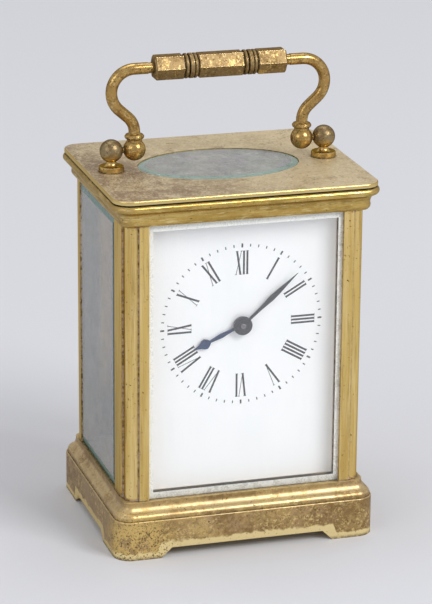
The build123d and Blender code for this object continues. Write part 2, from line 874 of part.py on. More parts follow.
def make_hour_hand():
    face_y = dial_face_y - hour_hand_lift
    half = hour_bulge_width / 2
    blade = hand_face(
        [
            (0.5, 0.5),
            (0.24 * hour_hand_length, 0.45),
            (0.42 * hour_hand_length, 0.72),
            (hour_bulge_radius - 1.15 * half, 0.36),
            (hour_bulge_radius - 0.8 * half, 0.62 * half),
            (hour_bulge_radius - 0.25 * half, 0.98 * half),
            (hour_bulge_radius + 0.3 * half, 0.88 * half),
            (hour_bulge_radius + 1.1 * half, 0.36 * half),
            (hour_hand_length, 0.0),
        ],
        hour_hand_angle,
    )
    hand = along_y(Pos(0, dial_centre_height) * blade, face_y - hand_thickness, face_y)
    hand += rod_y(0, dial_centre_height, hand_boss_radius - 0.2, face_y - hand_thickness, face_y)
    return hand - rod_y(0, dial_centre_height, hour_pipe_radius, face_y - 1, face_y)


# Gears
def gear_face(teeth, module, phase, tooth_share=0.46, addendum=0.95, dedendum=root_depth, tip_share=0.2):
    """A toothed wheel's outline with flanks that narrow towards the tips, tooth 0 at the phase angle."""
    radius = teeth * module / 2
    pitch = 360 / teeth
    points = []
    for index in range(teeth):
        middle = phase + index * pitch
        points.append(polar(radius - dedendum * module, middle - tooth_share * pitch / 2))
        points.append(polar(radius + addendum * module, middle - tip_share * pitch / 2))
        points.append(polar(radius + addendum * module, middle + tip_share * pitch / 2))
        points.append(polar(radius - dedendum * module, middle + tooth_share * pitch / 2))
    return make_face(Polyline(*points, close=True))


def pinion_face(leaves, module, phase):
    return gear_face(leaves, module, phase, tooth_share=0.4, addendum=0.8, dedendum=1.25, tip_share=0.14)


def mating_phase(phase, teeth, direction, pinion_teeth):
    """The phase that puts a gear in mesh with one whose phase is known, in the given direction from it."""
    turns = (phase - direction) * teeth / 360 + 0.5
    return direction + 180 - turns * 360 / pinion_teeth


def spoked(face, rim_radius, hub_radius, spokes, spoke_width):
    """Crosses out a wheel between its hub and its rim."""
    window = Circle(rim_radius) - Circle(hub_radius)
    spoke = Pos(rim_radius / 2, 0) * Rectangle(rim_radius * 1.1, spoke_width)
    for index in range(spokes):
        window -= Rot(0, 0, index * 360 / spokes) * spoke
    return face - window


def meshing_centre(first, first_radius, second, second_radius, side):
    """Where an arbor stands at both centre distances from two others, on the given side of their line."""
    dx, dz = second[0] - first[0], second[1] - first[1]
    distance = math.hypot(dx, dz)
    reach = (first_radius**2 - second_radius**2 + distance**2) / (2 * distance)
    across = side * math.sqrt(first_radius**2 - reach**2)
    return (
        first[0] + (reach * dx + across * dz) / distance,
        first[1] + (reach * dz - across * dx) / distance,
    )


def bearing(start, end):
    return math.degrees(math.atan2(end[1] - start[1], end[0] - start[0]))


# Where the arbors stand, as (x, z)
barrel_at = (barrel_x, dial_centre_height - barrel_drop)
centre_at = (0, dial_centre_height)
contrate_at = (contrate_x, dial_centre_height + contrate_rise)
intermediate_at = meshing_centre(
    barrel_at,
    barrel_module * (barrel_teeth + intermediate_leaves) / 2,
    centre_at,
    intermediate_module * (intermediate_teeth + centre_leaves) / 2,
    1,
)
third_at = meshing_centre(
    centre_at,
    centre_module * (centre_teeth + third_leaves) / 2,
    contrate_at,
    third_module * (third_teeth + contrate_leaves) / 2,
    1,
)
barrel_phase = 0
intermediate_pinion_phase = mating_phase(
    barrel_phase, barrel_teeth, bearing(barrel_at, intermediate_at), intermediate_leaves
)
intermediate_phase = 0
centre_pinion_phase = mating_phase(
    intermediate_phase, intermediate_teeth, bearing(intermediate_at, centre_at), centre_leaves
)
centre_phase = 0
third_pinion_phase = mating_phase(centre_phase, centre_teeth, bearing(centre_at, third_at), third_leaves)
third_phase = 0
contrate_pinion_phase = mating_phase(
    third_phase, third_teeth, bearing(third_at, contrate_at), contrate_leaves
)
minute_stud_reach = polar(motion_module * (cannon_leaves + minute_teeth) / 2, minute_stud_angle)
minute_stud_at = (centre_at[0] + minute_stud_reach[0], centre_at[1] + minute_stud_reach[1])
minute_wheel_phase = mating_phase(0, cannon_leaves, minute_stud_angle, minute_teeth)
hour_wheel_phase = mating_phase(0, minute_leaves, minute_stud_angle + 180, hour_teeth)
click_at = (barrel_at[0] - click_left, barrel_at[1] + click_rise)


def layer(depth):
    """Where a piece stands between the plates, this far behind the front plate's inner face."""
    return inner_y + depth


barrel_front = layer(barrel_front_layer)
barrel_rear = barrel_front + barrel_length
barrel_drum_radius = barrel_teeth * barrel_module / 2 - root_depth * barrel_module - barrel_rim

# Platform levels and arbors, the last as (x, y)
crown_front = layer(contrate_wheel_layer) + wheel_thickness - crown_depth
mesh_z = contrate_at[1] + crown_radius
escape_at = (contrate_x, crown_front + escape_mesh_depth - escape_leaves * contrate_module / 2)
pallet_at = (escape_at[0] + pallet_distance, escape_at[1])
balance_at = (pallet_at[0] + balance_distance, escape_at[1])
platform_bore = platform_pivot_radius + arbor_play
escape_z = platform_top + escape_level
lever_z = escape_z + escape_thickness + vertical_play
balance_z = platform_top + balance_level
hairspring_z = balance_z + balance_thickness + hairspring_level
cock_z = platform_top + cock_level
bridge_z = platform_top + bridge_level


def make_wheel(at, teeth, module, phase, front, spokes, spoke_width, rim):
    radius = teeth * module / 2
    root = radius - root_depth * module
    face = spoked(gear_face(teeth, module, phase), root - rim, wheel_hub_radius, spokes, spoke_width)
    wheel = along_y(Pos(*at) * face, front, front + wheel_thickness)
    return wheel - rod_y(*at, arbor_radius, front, front + wheel_thickness)


def make_arbor(at, leaves, module, phase, driver_front, driver_thickness):
    """A steel arbor with its pinion set across the driving wheel, and pivots that run in the two plates."""
    pinion_front = driver_front - pinion_margin
    pinion_rear = driver_front + driver_thickness + pinion_margin
    arbor = along_y(Pos(*at) * pinion_face(leaves, module, phase), pinion_front, pinion_rear)
    arbor += rod_y(*at, arbor_radius, inner_y + end_play, back_plate_y - end_play)
    return arbor + rod_y(*at, pivot_radius, front_plate_y + 0.2, back_plate_rear - 0.2)


def make_barrel():
    wheel = along_y(
        Pos(*barrel_at) * gear_face(barrel_teeth, barrel_module, barrel_phase),
        barrel_front,
        barrel_front + barrel_wheel_thickness,
    )
    barrel = wheel + rod_y(*barrel_at, barrel_drum_radius, barrel_front, barrel_rear)
    barrel -= rod_y(*barrel_at, barrel_drum_radius - barrel_wall, barrel_front + barrel_end, barrel_rear)
    return barrel - rod_y(*barrel_at, barrel_arbor_radius + arbor_play, barrel_front, barrel_rear)


def make_barrel_cover():
    cover = rod_y(*barrel_at, barrel_drum_radius - barrel_wall, barrel_rear - barrel_end, barrel_rear)
    return cover - rod_y(*barrel_at, barrel_arbor_radius + arbor_play, barrel_rear - barrel_end, barrel_rear)


def make_mainspring():
    """The wound spring's pack, packed against the barrel's wall."""
    front, rear = barrel_front + barrel_end + mainspring_play, barrel_rear - barrel_end - mainspring_play
    spring = rod_y(*barrel_at, barrel_drum_radius - barrel_wall, front, rear)
    return spring - rod_y(*barrel_at, mainspring_inner_radius, front, rear)


def square_y(at, size, front, rear):
    return along_y(Pos(*at) * Rectangle(size, size), front, rear)


def make_barrel_arbor():
    arbor = rod_y(*barrel_at, barrel_arbor_radius, front_plate_y + 0.2, back_plate_rear + 2)
    front, rear = barrel_front + barrel_end + mainspring_play, barrel_rear - barrel_end - mainspring_play
    arbor += rod_y(*barrel_at, barrel_hub_radius, front, rear)
    square = square_y(barrel_at, winding_square, back_plate_rear + 1, square_end)
    return arbor + chamfer(square.faces().sort_by(Axis.Y)[-1].edges(), 0.3)


def make_ratchet_wheel():
    pitch = 360 / ratchet_teeth
    points = []
    for index in range(ratchet_teeth):
        points.append(polar(ratchet_radius, index * pitch))
        points.append(polar(ratchet_radius - ratchet_depth, index * pitch + 0.08 * pitch))
    front = back_plate_rear + ratchet_gap
    rear = front + ratchet_thickness
    wheel = along_y(Pos(*barrel_at) * make_face(Polyline(*points, close=True)), front, rear)
    return wheel - rod_y(*barrel_at, barrel_arbor_radius, front, rear)


def click_tip():
    return meshing_centre(barrel_at, ratchet_radius + click_clearance, click_at, click_reach, 1)


def make_click():
    """A pawl on a shouldered screw, its nose just off the ratchet teeth."""
    front = back_plate_rear + ratchet_gap
    rear = front + ratchet_thickness
    hub, reach = click_hub_radius, click_reach
    nose = Polyline(
        (0, 0.84 * hub), (0.6 * reach, 0.8 * hub), (reach, 0.05 * hub), (0.97 * reach, -0.16 * hub),
        (0, -0.74 * hub),
        close=True,
    )
    outline = Pos(*click_at) * (Rot(0, 0, bearing(click_at, click_tip())) * make_face(nose) + Circle(hub))
    return along_y(outline, front, rear) - rod_y(*click_at, click_screw_radius + arbor_play, front, rear)


def make_click_screw():
    head = back_plate_rear + ratchet_gap + ratchet_thickness + end_play
    screw = rod_y(*click_at, click_screw_radius, back_plate_rear - plate_thickness, head)
    return screw + rod_y(*click_at, click_screw_head_radius, head, head + click_screw_head_height)


def make_click_spring():
    """A leaf with a broad foot on the plate, its free end just behind the click."""
    x, z = click_at
    hub = click_hub_radius
    foot_x, foot_z = x - click_spring_left, z - click_spring_drop
    outline = Polyline(
        (foot_x - 0.6 * hub, foot_z - hub),
        (foot_x + 0.6 * hub, foot_z - hub),
        (foot_x + 0.5 * hub, foot_z + 0.5 * hub),
        (x - 1.1 * hub, z - 0.1 * hub),
        (x - 1.35 * hub, z + 0.1 * hub),
        (foot_x - 0.5 * hub, foot_z + 0.7 * hub),
        close=True,
    )
    return along_y(make_face(outline), back_plate_rear, back_plate_rear + ratchet_gap + ratchet_thickness)


def make_centre_arbor():
    """The arbor of the minute hand, with a square behind for setting the hands."""
    arbor = make_arbor(
        centre_at, centre_leaves, intermediate_module, centre_pinion_phase,
        layer(intermediate_wheel_layer), wheel_thickness,
    )
    arbor += rod_y(*centre_at, centre_pin_radius, minute_boss_front, back_plate_rear + 1)
    head = rod_y(*centre_at, hand_pin_radius, minute_boss_front - 0.3, minute_boss_front)
    arbor += fillet(head.faces().sort_by(Axis.Y)[0].edges(), 0.2)
    square = square_y(centre_at, setting_square, back_plate_rear + 0.6, square_end - 1)
    return arbor + chamfer(square.faces().sort_by(Axis.Y)[-1].edges(), 0.25)


# Contrate wheel: its teeth stand forward from the rim like a crown and drive the upright escape arbor
def make_contrate_wheel():
    web_front = layer(contrate_wheel_layer)
    disc = Circle(crown_radius + crown_wall / 2)
    web = spoked(disc, crown_radius - crown_wall / 2, wheel_hub_radius, 4, wheel_hub_radius / 2)
    wheel = along_y(Pos(*contrate_at) * web, web_front, web_front + wheel_thickness)
    rim = disc - Circle(crown_radius - crown_wall / 2)
    wheel += along_y(Pos(*contrate_at) * rim, crown_front, web_front)
    pitch = 360 / contrate_teeth
    gap = math.pi * contrate_module * crown_gap_share
    gaps = []
    for index in range(contrate_teeth):
        x, z = polar(crown_radius, 90 + index * pitch)
        cutter = Rot(0, -index * pitch, 0) * Box(gap, crown_tooth, 2 * crown_wall)
        gaps.append(Pos(contrate_at[0] + x, crown_front + crown_tooth / 2, contrate_at[1] + z) * cutter)
    wheel -= gaps
    return wheel - rod_y(*contrate_at, arbor_radius, web_front, web_front + wheel_thickness)


# Motion work
def make_cannon_pinion():
    rear = front_plate_y - 0.1
    cannon = along_y(
        Pos(*centre_at) * pinion_face(cannon_leaves, motion_module, 0), motion_layer_minute - 0.1, rear
    )
    cannon += rod_y(*centre_at, cannon_radius, cannon_front, rear)
    return cannon - rod_y(*centre_at, centre_pin_radius, cannon_front, rear)


def make_minute_wheel():
    front, rear = motion_layer_minute, motion_layer_minute + motion_wheel_thickness
    wheel = along_y(
        Pos(*minute_stud_at) * gear_face(minute_teeth, motion_module, minute_wheel_phase), front, rear
    )
    pinion_front = motion_layer_hour - 0.15
    wheel += along_y(Pos(*minute_stud_at) * pinion_face(minute_leaves, hour_module, 0), pinion_front, front)
    return wheel - rod_y(*minute_stud_at, minute_stud_radius + arbor_play, pinion_front, rear)


def make_hour_wheel():
    front, rear = motion_layer_hour, motion_layer_hour + motion_wheel_thickness
    wheel = along_y(Pos(*centre_at) * gear_face(hour_teeth, hour_module, hour_wheel_phase), front, rear)
    pipe_front = dial_face_y - hour_hand_lift - hand_thickness
    wheel += rod_y(*centre_at, hour_pipe_radius, pipe_front, rear)
    return wheel - rod_y(*centre_at, cannon_radius + arbor_play, pipe_front, rear)


# Plates
def plate_pillar_places():
    x = plate_width / 2 - plate_pillar_inset
    return [
        (-x, deck_z + plate_pillar_inset),
        (x, deck_z + plate_pillar_inset),
        (-x, plate_top_z - plate_pillar_inset),
        (x, plate_top_z - plate_pillar_inset),
    ]


def train_arbors():
    return [intermediate_at, third_at, contrate_at]


def make_plate(front, is_back):
    middle = deck_z + plate_height / 2
    rear = front + plate_thickness
    plate = along_y(Pos(0, middle) * RectangleRounded(plate_width, plate_height, plate_corner), front, rear)
    for at in train_arbors():
        plate -= rod_y(*at, pivot_radius + arbor_play, front, rear)
    plate -= rod_y(*barrel_at, barrel_arbor_radius + arbor_play, front, rear)
    plate -= rod_y(*centre_at, centre_pin_radius + arbor_play, front, rear)
    for at in plate_pillar_places():
        plate -= rod_y(*at, plate_screw_radius + fit_clearance, front, rear)
    if is_back:
        plate -= rod_y(*click_at, click_screw_radius, front, rear)
    else:
        plate += rod_y(*minute_stud_at, minute_stud_radius, motion_layer_hour - motion_gap, front + 0.1)
    return plate


def make_plate_pillars():
    pillars = []
    bore = plate_screw_radius + fit_clearance
    depth = plate_screw_engagement + 2 * fit_clearance
    for index, at in enumerate(plate_pillar_places()):
        pillar = rod_y(*at, plate_pillar_radius, inner_y, back_plate_y)
        pillar -= rod_y(*at, bore, inner_y, inner_y + depth)
        pillar -= rod_y(*at, bore, back_plate_y - depth, back_plate_y)
        if index < 2:
            pillar -= rod_z(at[0], lower_pillar_y, screw_shank_radius, deck_z, deck_z + plate_pillar_inset)
        pillars.append(pillar)
    return Compound(children=pillars)


def plate_screw(at, plate_face, outward):
    """A cheese-headed screw through a plate into the end of a pillar."""
    inner = plate_face - outward * (plate_thickness + plate_screw_engagement)
    head = plate_face + outward * plate_screw_head_height
    screw = rod_y(*at, plate_screw_radius, min(inner, plate_face), max(inner, plate_face))
    screw += rod_y(*at, plate_screw_head_radius, min(plate_face, head), max(plate_face, head))
    slot = Box(2 * plate_screw_head_radius, plate_screw_slot, plate_screw_slot)
    return screw - Pos(at[0], head, at[1]) * slot


def make_plate_screws():
    screws = []
    for at in plate_pillar_places():
        screws.append(plate_screw(at, front_plate_y, -1))
        screws.append(plate_screw(at, back_plate_rear, 1))
    screws.append(make_click_screw())
    return Compound(children=screws)


# Platform escapement, with everything on it standing upright
def platform_screw_places():
    x = platform_width / 2 - platform_screw_inset
    front, rear = front_plate_y + platform_screw_inset, back_plate_rear - platform_screw_inset
    return [(side * x, y) for side in (-1, 1) for y in (front, rear)]


def make_platform():
    front, rear = front_plate_y, back_plate_rear
    outline = Pos(0, (front + rear) / 2) * RectangleRounded(platform_width, rear - front, platform_corner)
    plate = along_z(outline, plate_top_z, platform_top)
    plate -= rod_z(*escape_at, escape_leaves * contrate_module / 2 + 0.6, plate_top_z, platform_top)
    for at in (pallet_at, balance_at):
        plate -= rod_z(*at, platform_bore, platform_top - jewel_depth - 0.6, platform_top)
    for at in platform_screw_places():
        plate -= rod_z(*at, platform_screw_radius, plate_top_z, platform_top)
    # A bracket hangs from the platform to carry the escape arbor's lower pivot
    low = mesh_z - bracket_drop
    x, y = escape_at
    drop = Box(bracket_width, bracket_thickness, plate_top_z - low)
    ledge_depth = bracket_reach + bracket_thickness / 2 + 1.1
    ledge = Box(bracket_width, ledge_depth, 1.0)
    plate += Pos(x, y - bracket_reach, (low + plate_top_z) / 2) * drop
    plate += Pos(x, y - bracket_reach - bracket_thickness / 2 + ledge_depth / 2, low + 0.5) * ledge
    return plate - rod_z(x, y, platform_bore, low + 0.3, low + 1.0)


def make_escape_wheel():
    pitch = 360 / escape_teeth
    points = []
    for index in range(escape_teeth):
        angle = index * pitch
        points.append(polar(escape_radius * 0.74, angle - 0.30 * pitch))
        points.append(polar(escape_radius * 0.97, angle - 0.12 * pitch))
        points.append(polar(escape_radius, angle + 0.14 * pitch))
        points.append(polar(escape_radius * 0.74, angle - 0.06 * pitch))
    rim = escape_radius * 0.62
    face = spoked(make_face(Polyline(*points, close=True)), rim, escape_hub_radius, 4, escape_hub_radius / 2)
    wheel = along_z(Pos(*escape_at) * face, escape_z, escape_z + escape_thickness)
    return wheel - rod_z(*escape_at, escape_arbor_radius, escape_z, escape_z + escape_thickness)


def make_escape_arbor():
    """An upright arbor, with a leaf of its pinion in the gap at the top of the contrate wheel."""
    low = mesh_z - 1.7
    pinion = along_z(Pos(*escape_at) * pinion_face(escape_leaves, contrate_module, 90), low, plate_top_z)
    arbor = pinion + rod_z(*escape_at, escape_arbor_radius, low - 0.8, bridge_z - vertical_play)
    return arbor + rod_z(*escape_at, platform_pivot_radius, low - 1.3, bridge_z + jewel_depth)


def make_pallet_lever():
    """The lever between the escape wheel and the balance: two pallet stones behind, a forked end ahead."""
    x, y = pallet_at
    one_arm = [(0.9, 0.45), (0.2, 1.1), (-1.9, 2.9), (-2.6, 2.6), (-2.3, 1.9), (-0.8, 0.6)]
    other_arm = [(along, -across) for along, across in reversed(one_arm)]
    arms = make_face(Polyline(*one_arm, *other_arm, close=True))
    tail_length = balance_distance - roller_radius + impulse_pin_inset
    tail = Pos(tail_length / 2, 0) * Rectangle(tail_length, lever_width)
    horns = Pos(tail_length - 0.5, 0) * Rectangle(1.0, 2.5 * lever_width)
    notch = Pos(tail_length, 0) * Rectangle(1.2, 3.2 * impulse_pin_radius)
    lever = along_z(Pos(x, y) * (arms + tail + horns - notch), lever_z, lever_z + lever_thickness)
    lever += rod_z(x, y, lever_staff_radius, platform_top + vertical_play, bridge_z - vertical_play)
    return lever + rod_z(x, y, platform_pivot_radius, platform_top - jewel_depth, bridge_z + jewel_depth)


def make_balance_wheel():
    """A plain rim on two arms."""
    rim = Circle(balance_radius) - Circle(balance_radius - balance_rim)
    arms = Rectangle(2 * balance_radius - balance_rim, balance_arm_width)
    face = rim + arms + Circle(balance_hub_radius)
    wheel = along_z(Pos(*balance_at) * face, balance_z, balance_z + balance_thickness)
    return wheel - rod_z(*balance_at, balance_staff_radius, balance_z, balance_z + balance_thickness)


def make_balance_staff():
    staff = rod_z(*balance_at, balance_staff_radius, platform_top + vertical_play, cock_z - vertical_play)
    staff += rod_z(*balance_at, platform_pivot_radius, platform_top - jewel_depth, cock_z + jewel_depth)
    roller_z = lever_z + lever_thickness + 4 * vertical_play
    staff += rod_z(*balance_at, roller_radius, roller_z, roller_z + roller_thickness)
    pin_x = balance_at[0] - roller_radius + impulse_pin_inset
    pin_low = lever_z + lever_thickness + vertical_play
    staff += rod_z(pin_x, balance_at[1], impulse_pin_radius, pin_low, roller_z)
    collet_z = balance_z + balance_thickness
    collet_radius = hairspring_inner_radius - hairspring_ribbon / 2 - collet_clearance
    return staff + rod_z(*balance_at, collet_radius, collet_z, collet_z + collet_height)


def make_hairspring():
    """Half-turn arcs about two centres, each half a pitch wider than the one before."""
    x, y = balance_at
    arcs = []
    radius = hairspring_inner_radius + hairspring_pitch / 4
    for index in range(2 * hairspring_turns):
        sign = 1 if index % 2 == 0 else -1
        centre = x - sign * hairspring_pitch / 4
        start = (centre + sign * radius, y, hairspring_z)
        middle = (centre, y + sign * radius, hairspring_z)
        end = (centre - sign * radius, y, hairspring_z)
        arcs.append(ThreePointArc(start, middle, end))
        radius += hairspring_pitch / 2
    path = Wire(arcs)
    points = [path @ (step / 400) for step in range(401)]
    gap = least_gap(points)
    print(f"hairspring: least gap between its turns {gap:.2f} mm")
    across = Plane(origin=path @ 0, x_dir=(1, 0, 0), z_dir=path % 0)
    return sweep(across * Rectangle(hairspring_ribbon, hairspring_height), path=path)


def least_gap(points):
    """The least distance between turns, from points that lie more than half a turn apart."""
    apart = len(points) // (2 * hairspring_turns)
    least = min(
        (first - second).length
        for index, first in enumerate(points)
        for second in points[index + apart // 2 + 10:]
    )
    return least - hairspring_ribbon


def hairspring_outer():
    """Where the spring's outer end stands, to the right of the balance."""
    return balance_at[0] + hairspring_inner_radius + hairspring_turns * hairspring_pitch


def make_balance_cock():
    """A cock from a foot behind the balance, reaching over the staff's upper pivot."""
    x, y = balance_at
    foot_x, foot_y = cock_screw_at()
    top = cock_z + cock_thickness
    neck, half = 0.85 * cock_nose_radius, cock_foot_length / 2
    rear = foot_y + cock_foot_depth / 2
    sides = Polyline(
        (x - neck, y), (x + neck, y), (foot_x + half, rear), (foot_x - half, rear), close=True
    )
    cock = along_z(make_face(sides) + Pos(x, y) * Circle(cock_nose_radius), cock_z, top)
    foot = Pos(foot_x, foot_y) * Rectangle(cock_foot_length, cock_foot_depth)
    cock += along_z(foot, platform_top, top)
    stud_x, stud_y = hairspring_outer(), y + stud_width / 2
    stud_arm = Pos(stud_x - 2 * stud_width, stud_y) * Rectangle(5 * stud_width, stud_width)
    cock += along_z(stud_arm, cock_z, cock_z + cock_thickness / 2)
    stud = Pos(stud_x, stud_y) * Rectangle(stud_width, stud_width)
    cock += along_z(stud, hairspring_z - stud_width / 2, cock_z)
    cock -= rod_z(x, y, platform_bore, cock_z, cock_z + jewel_depth + 2 * vertical_play)
    return cock - rod_z(foot_x, foot_y, platform_screw_radius, platform_top, top)


def cock_screw_at():
    """The middle of the cock's foot."""
    return balance_at[0] + cock_foot_shift, back_plate_rear - cock_foot_inset


def make_bridge():
    """One bridge over the escape arbor and the lever's arbor."""
    x, foot_y = bridge_screw_at()
    top = bridge_z + bridge_thickness
    length = bridge_reach + 3.0
    outline = Pos(x, escape_at[1] - bridge_reach / 2) * RectangleRounded(bridge_width, length, 1.2)
    bridge = along_z(outline, bridge_z, top)
    bridge += along_z(Pos(x, foot_y) * Rectangle(bridge_width, 2.6), platform_top, top - vertical_play)
    for at in (escape_at, pallet_at):
        bridge -= rod_z(*at, platform_bore, bridge_z, top)
    return bridge - rod_z(x, foot_y, platform_screw_radius, platform_top, top)


def bridge_screw_at():
    """The middle of the bridge's foot."""
    return (escape_at[0] + pallet_at[0]) / 2 - bridge_shift, escape_at[1] - bridge_reach + 0.2


def make_regulator():
    """The index that lengthens or shortens the hairspring, turning about the cock's pivot."""
    low = cock_z + cock_thickness + regulator_play
    ring = Circle(regulator_radius) - Circle(regulator_bore)
    root, tip = 0.5, 0.15
    start, reach = regulator_radius - 0.3, regulator_reach
    pointer = make_face(Polyline((-root, -start), (root, -start), (tip, -reach), (-tip, -reach), close=True))
    return along_z(Pos(*balance_at) * (ring + pointer), low, low + regulator_thickness)


def make_regulator_cap():
    """The small round cap that holds the index on the cock."""
    low = cock_z + cock_thickness
    shoulder = low + regulator_thickness + 2 * regulator_play
    cap = rod_z(*balance_at, regulator_bore - arbor_play, low, shoulder)
    return cap + rod_z(*balance_at, regulator_cap_radius, shoulder, shoulder + regulator_thickness)


def platform_screw(x, y, face, depth):
    head = rod_z(x, y, platform_screw_head, face, face + platform_screw_height)
    slot = Box(2 * platform_screw_head, platform_screw_slot, platform_screw_height)
    head -= Pos(x, y, face + platform_screw_height) * slot
    return head + rod_z(x, y, platform_screw_radius, face - depth, face)


def make_platform_screws():
    screws = [platform_screw(x, y, platform_top, platform_thickness) for x, y in platform_screw_places()]
    height = cock_level + cock_thickness
    screws.append(platform_screw(*cock_screw_at(), platform_top + height, height))
    height = bridge_level + bridge_thickness
    screws.append(platform_screw(*bridge_screw_at(), platform_top + height, height))
    screws.append(make_regulator_cap())
    return Compound(children=screws)


# Case screws
def make_case_screws():
    """Up through the base into the pillars and the movement, and down through the cornice."""
    screws = []
    slot = Box(2 * screw_head_radius, screw_slot_width, 2 * screw_slot_depth)
    seat = deck_z - deck_thickness
    head_low = seat - screw_head_height
    movement_screws = [(side * movement_screw_x, lower_pillar_y) for side in (-1, 1)]
    for index, (x, y) in enumerate(screw_places() + movement_screws):
        reach = screw_engagement - 0.2 if index < 4 else plate_pillar_inset - 0.8
        head = rod_z(x, y, screw_head_radius, head_low, seat) - Pos(x, y, head_low) * slot
        screws.append(head + rod_z(x, y, screw_shank_radius, seat, deck_z + reach))
    head_top = top_screw_seat + screw_head_height
    for x, y in screw_places():
        head = rod_z(x, y, screw_head_radius, top_screw_seat, head_top) - Pos(x, y, head_top) * slot
        shank_low = cornice_z - screw_engagement + 0.2
        screws.append(head + rod_z(x, y, screw_shank_radius, shank_low, top_screw_seat))
    return Compound(children=screws)


def main():
    os.makedirs("parts", exist_ok=True)
    save("base", make_base())
    for side, side_name in ((-1, "left"), (1, "right")):
        for end, end_name in ((-1, "front"), (1, "rear")):
            save(f"pillar_{end_name}_{side_name}", make_pillar(side, end))
        save(f"{side_name}_glass", make_side_glass(side))
        save(f"finial_{side_name}", make_finial(side))
        save(f"handle_arm_{side_name}", make_arm(side))
    save("handle_pivots", Compound(children=[make_pivot_pin(-1), make_pivot_pin(1)]))
    save("handle_grip", make_grip())
    save("front_glass", make_front_glass())
    save("cornice", make_cornice())
    save("top_plate", make_top_plate())
    save("top_glass", make_top_glass())
    save("rear_door_frame", make_door_frame())
    save("rear_door_glass", make_door_glass())
    save("rear_door_knob", make_door_knob())
    save("rear_door_pins", make_door_pins())
    save("case_screws", make_case_screws())
    save("dial", make_dial())
    save("dial_feet", make_dial_feet())
    save("minute_hand", make_minute_hand())
    save("hour_hand", make_hour_hand())
    save("front_plate", make_plate(front_plate_y, False))
    save("back_plate", make_plate(back_plate_y, True))
    save("plate_pillars", make_plate_pillars())
    save("plate_screws", make_plate_screws())
    save("barrel", make_barrel())
    save("barrel_cover", make_barrel_cover())
    save("mainspring", make_mainspring())
    save("barrel_arbor", make_barrel_arbor())
    save("ratchet_wheel", make_ratchet_wheel())
    save("click", make_click())
    save("click_spring", make_click_spring())
    intermediate_front = layer(intermediate_wheel_layer)
    save(
        "intermediate_wheel",
        make_wheel(
            intermediate_at, intermediate_teeth, intermediate_module, intermediate_phase,
            intermediate_front, 5, 1.3, 1.4,
        ),
    )
    save(
        "intermediate_arbor",
        make_arbor(
            intermediate_at, intermediate_leaves, barrel_module, intermediate_pinion_phase,
            barrel_front, barrel_wheel_thickness,
        ),
    )
    centre_front = layer(centre_wheel_layer)
    save(
        "centre_wheel",
        make_wheel(centre_at, centre_teeth, centre_module, centre_phase, centre_front, 5, 1.2, 1.2),
    )
    save("centre_arbor", make_centre_arbor())
    third_front = layer(third_wheel_layer)
    save(
        "third_wheel",
        make_wheel(third_at, third_teeth, third_module, third_phase, third_front, 5, 0.9, 0.9),
    )
    save(
        "third_arbor",
        make_arbor(
            third_at, third_leaves, centre_module, third_pinion_phase, centre_front, wheel_thickness
        ),
    )
    save("contrate_wheel", make_contrate_wheel())
    save(
        "contrate_arbor",
        make_arbor(
            contrate_at, contrate_leaves, third_module, contrate_pinion_phase, third_front, wheel_thickness
        ),
    )
    save("cannon_pinion", make_cannon_pinion())
    save("minute_wheel", make_minute_wheel())
    save("hour_wheel", make_hour_wheel())
    save("platform", make_platform())
    save("escape_wheel", make_escape_wheel())
    save("escape_arbor", make_escape_arbor())
    save("pallet_lever", make_pallet_lever())
    save("balance_wheel", make_balance_wheel())
    save("balance_staff", make_balance_staff())
    save("hairspring", make_hairspring())
    save("balance_cock", make_balance_cock())
    save("escape_bridge", make_bridge())
    save("regulator_index", make_regulator())
    save("platform_screws", make_platform_screws())


main()
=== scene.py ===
from collections import namedtuple
import json
import math

import bmesh
import bpy
from mathutils import Matrix, Vector


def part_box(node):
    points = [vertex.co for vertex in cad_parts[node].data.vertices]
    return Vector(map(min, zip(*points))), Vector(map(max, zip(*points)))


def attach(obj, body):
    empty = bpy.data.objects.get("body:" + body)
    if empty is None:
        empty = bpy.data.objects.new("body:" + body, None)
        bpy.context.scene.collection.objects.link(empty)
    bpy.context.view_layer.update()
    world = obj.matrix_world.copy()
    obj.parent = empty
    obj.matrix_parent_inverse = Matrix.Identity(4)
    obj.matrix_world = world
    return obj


# The looks of a brass travel clock. Metres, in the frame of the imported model: -Y is the dial's front, +Z up.
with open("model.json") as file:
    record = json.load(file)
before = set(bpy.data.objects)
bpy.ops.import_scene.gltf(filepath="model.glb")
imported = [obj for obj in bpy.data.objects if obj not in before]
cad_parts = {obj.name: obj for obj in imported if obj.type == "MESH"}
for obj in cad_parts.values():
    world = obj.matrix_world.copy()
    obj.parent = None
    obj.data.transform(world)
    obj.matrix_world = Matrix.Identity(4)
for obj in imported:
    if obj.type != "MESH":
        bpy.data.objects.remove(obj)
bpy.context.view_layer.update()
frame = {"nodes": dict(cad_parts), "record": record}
MM = 0.001
X, Y, Z = 0, 1, 2

# Camera
camera_place = Vector((-245.56, -810.92, 345.79)) * MM
camera_aim = Vector((-0.4, 0.0, 68.14)) * MM
camera_roll = math.radians(0.466)
camera_lens = 172.8
camera_sensor = 36.0

# Light: each softbox has a place, an aim and a size in metres, and a power in watts
softboxes = {
    "key": ((1.4, -2.0, 2.0), (0, 0, 0.06), (1.3, 1.3), 52.0),
    "fill": ((-2.2, -1.2, 1.4), (0, 0, 0.07), (1.6, 1.6), 9.0),
    "top": ((0.0, 0.6, 2.8), (0, 0, 0.1), (2.0, 1.6), 15.0),
}
world_color = (1.0, 1.0, 1.02, 1.0)
world_level = 0.6

# Floor: its width in metres, its colour, and a glow that only metal and glass see
floor_width = 8
floor_color = (208, 209, 214)
floor_glow_color = (214, 215, 220)
floor_glow_share = 0.3

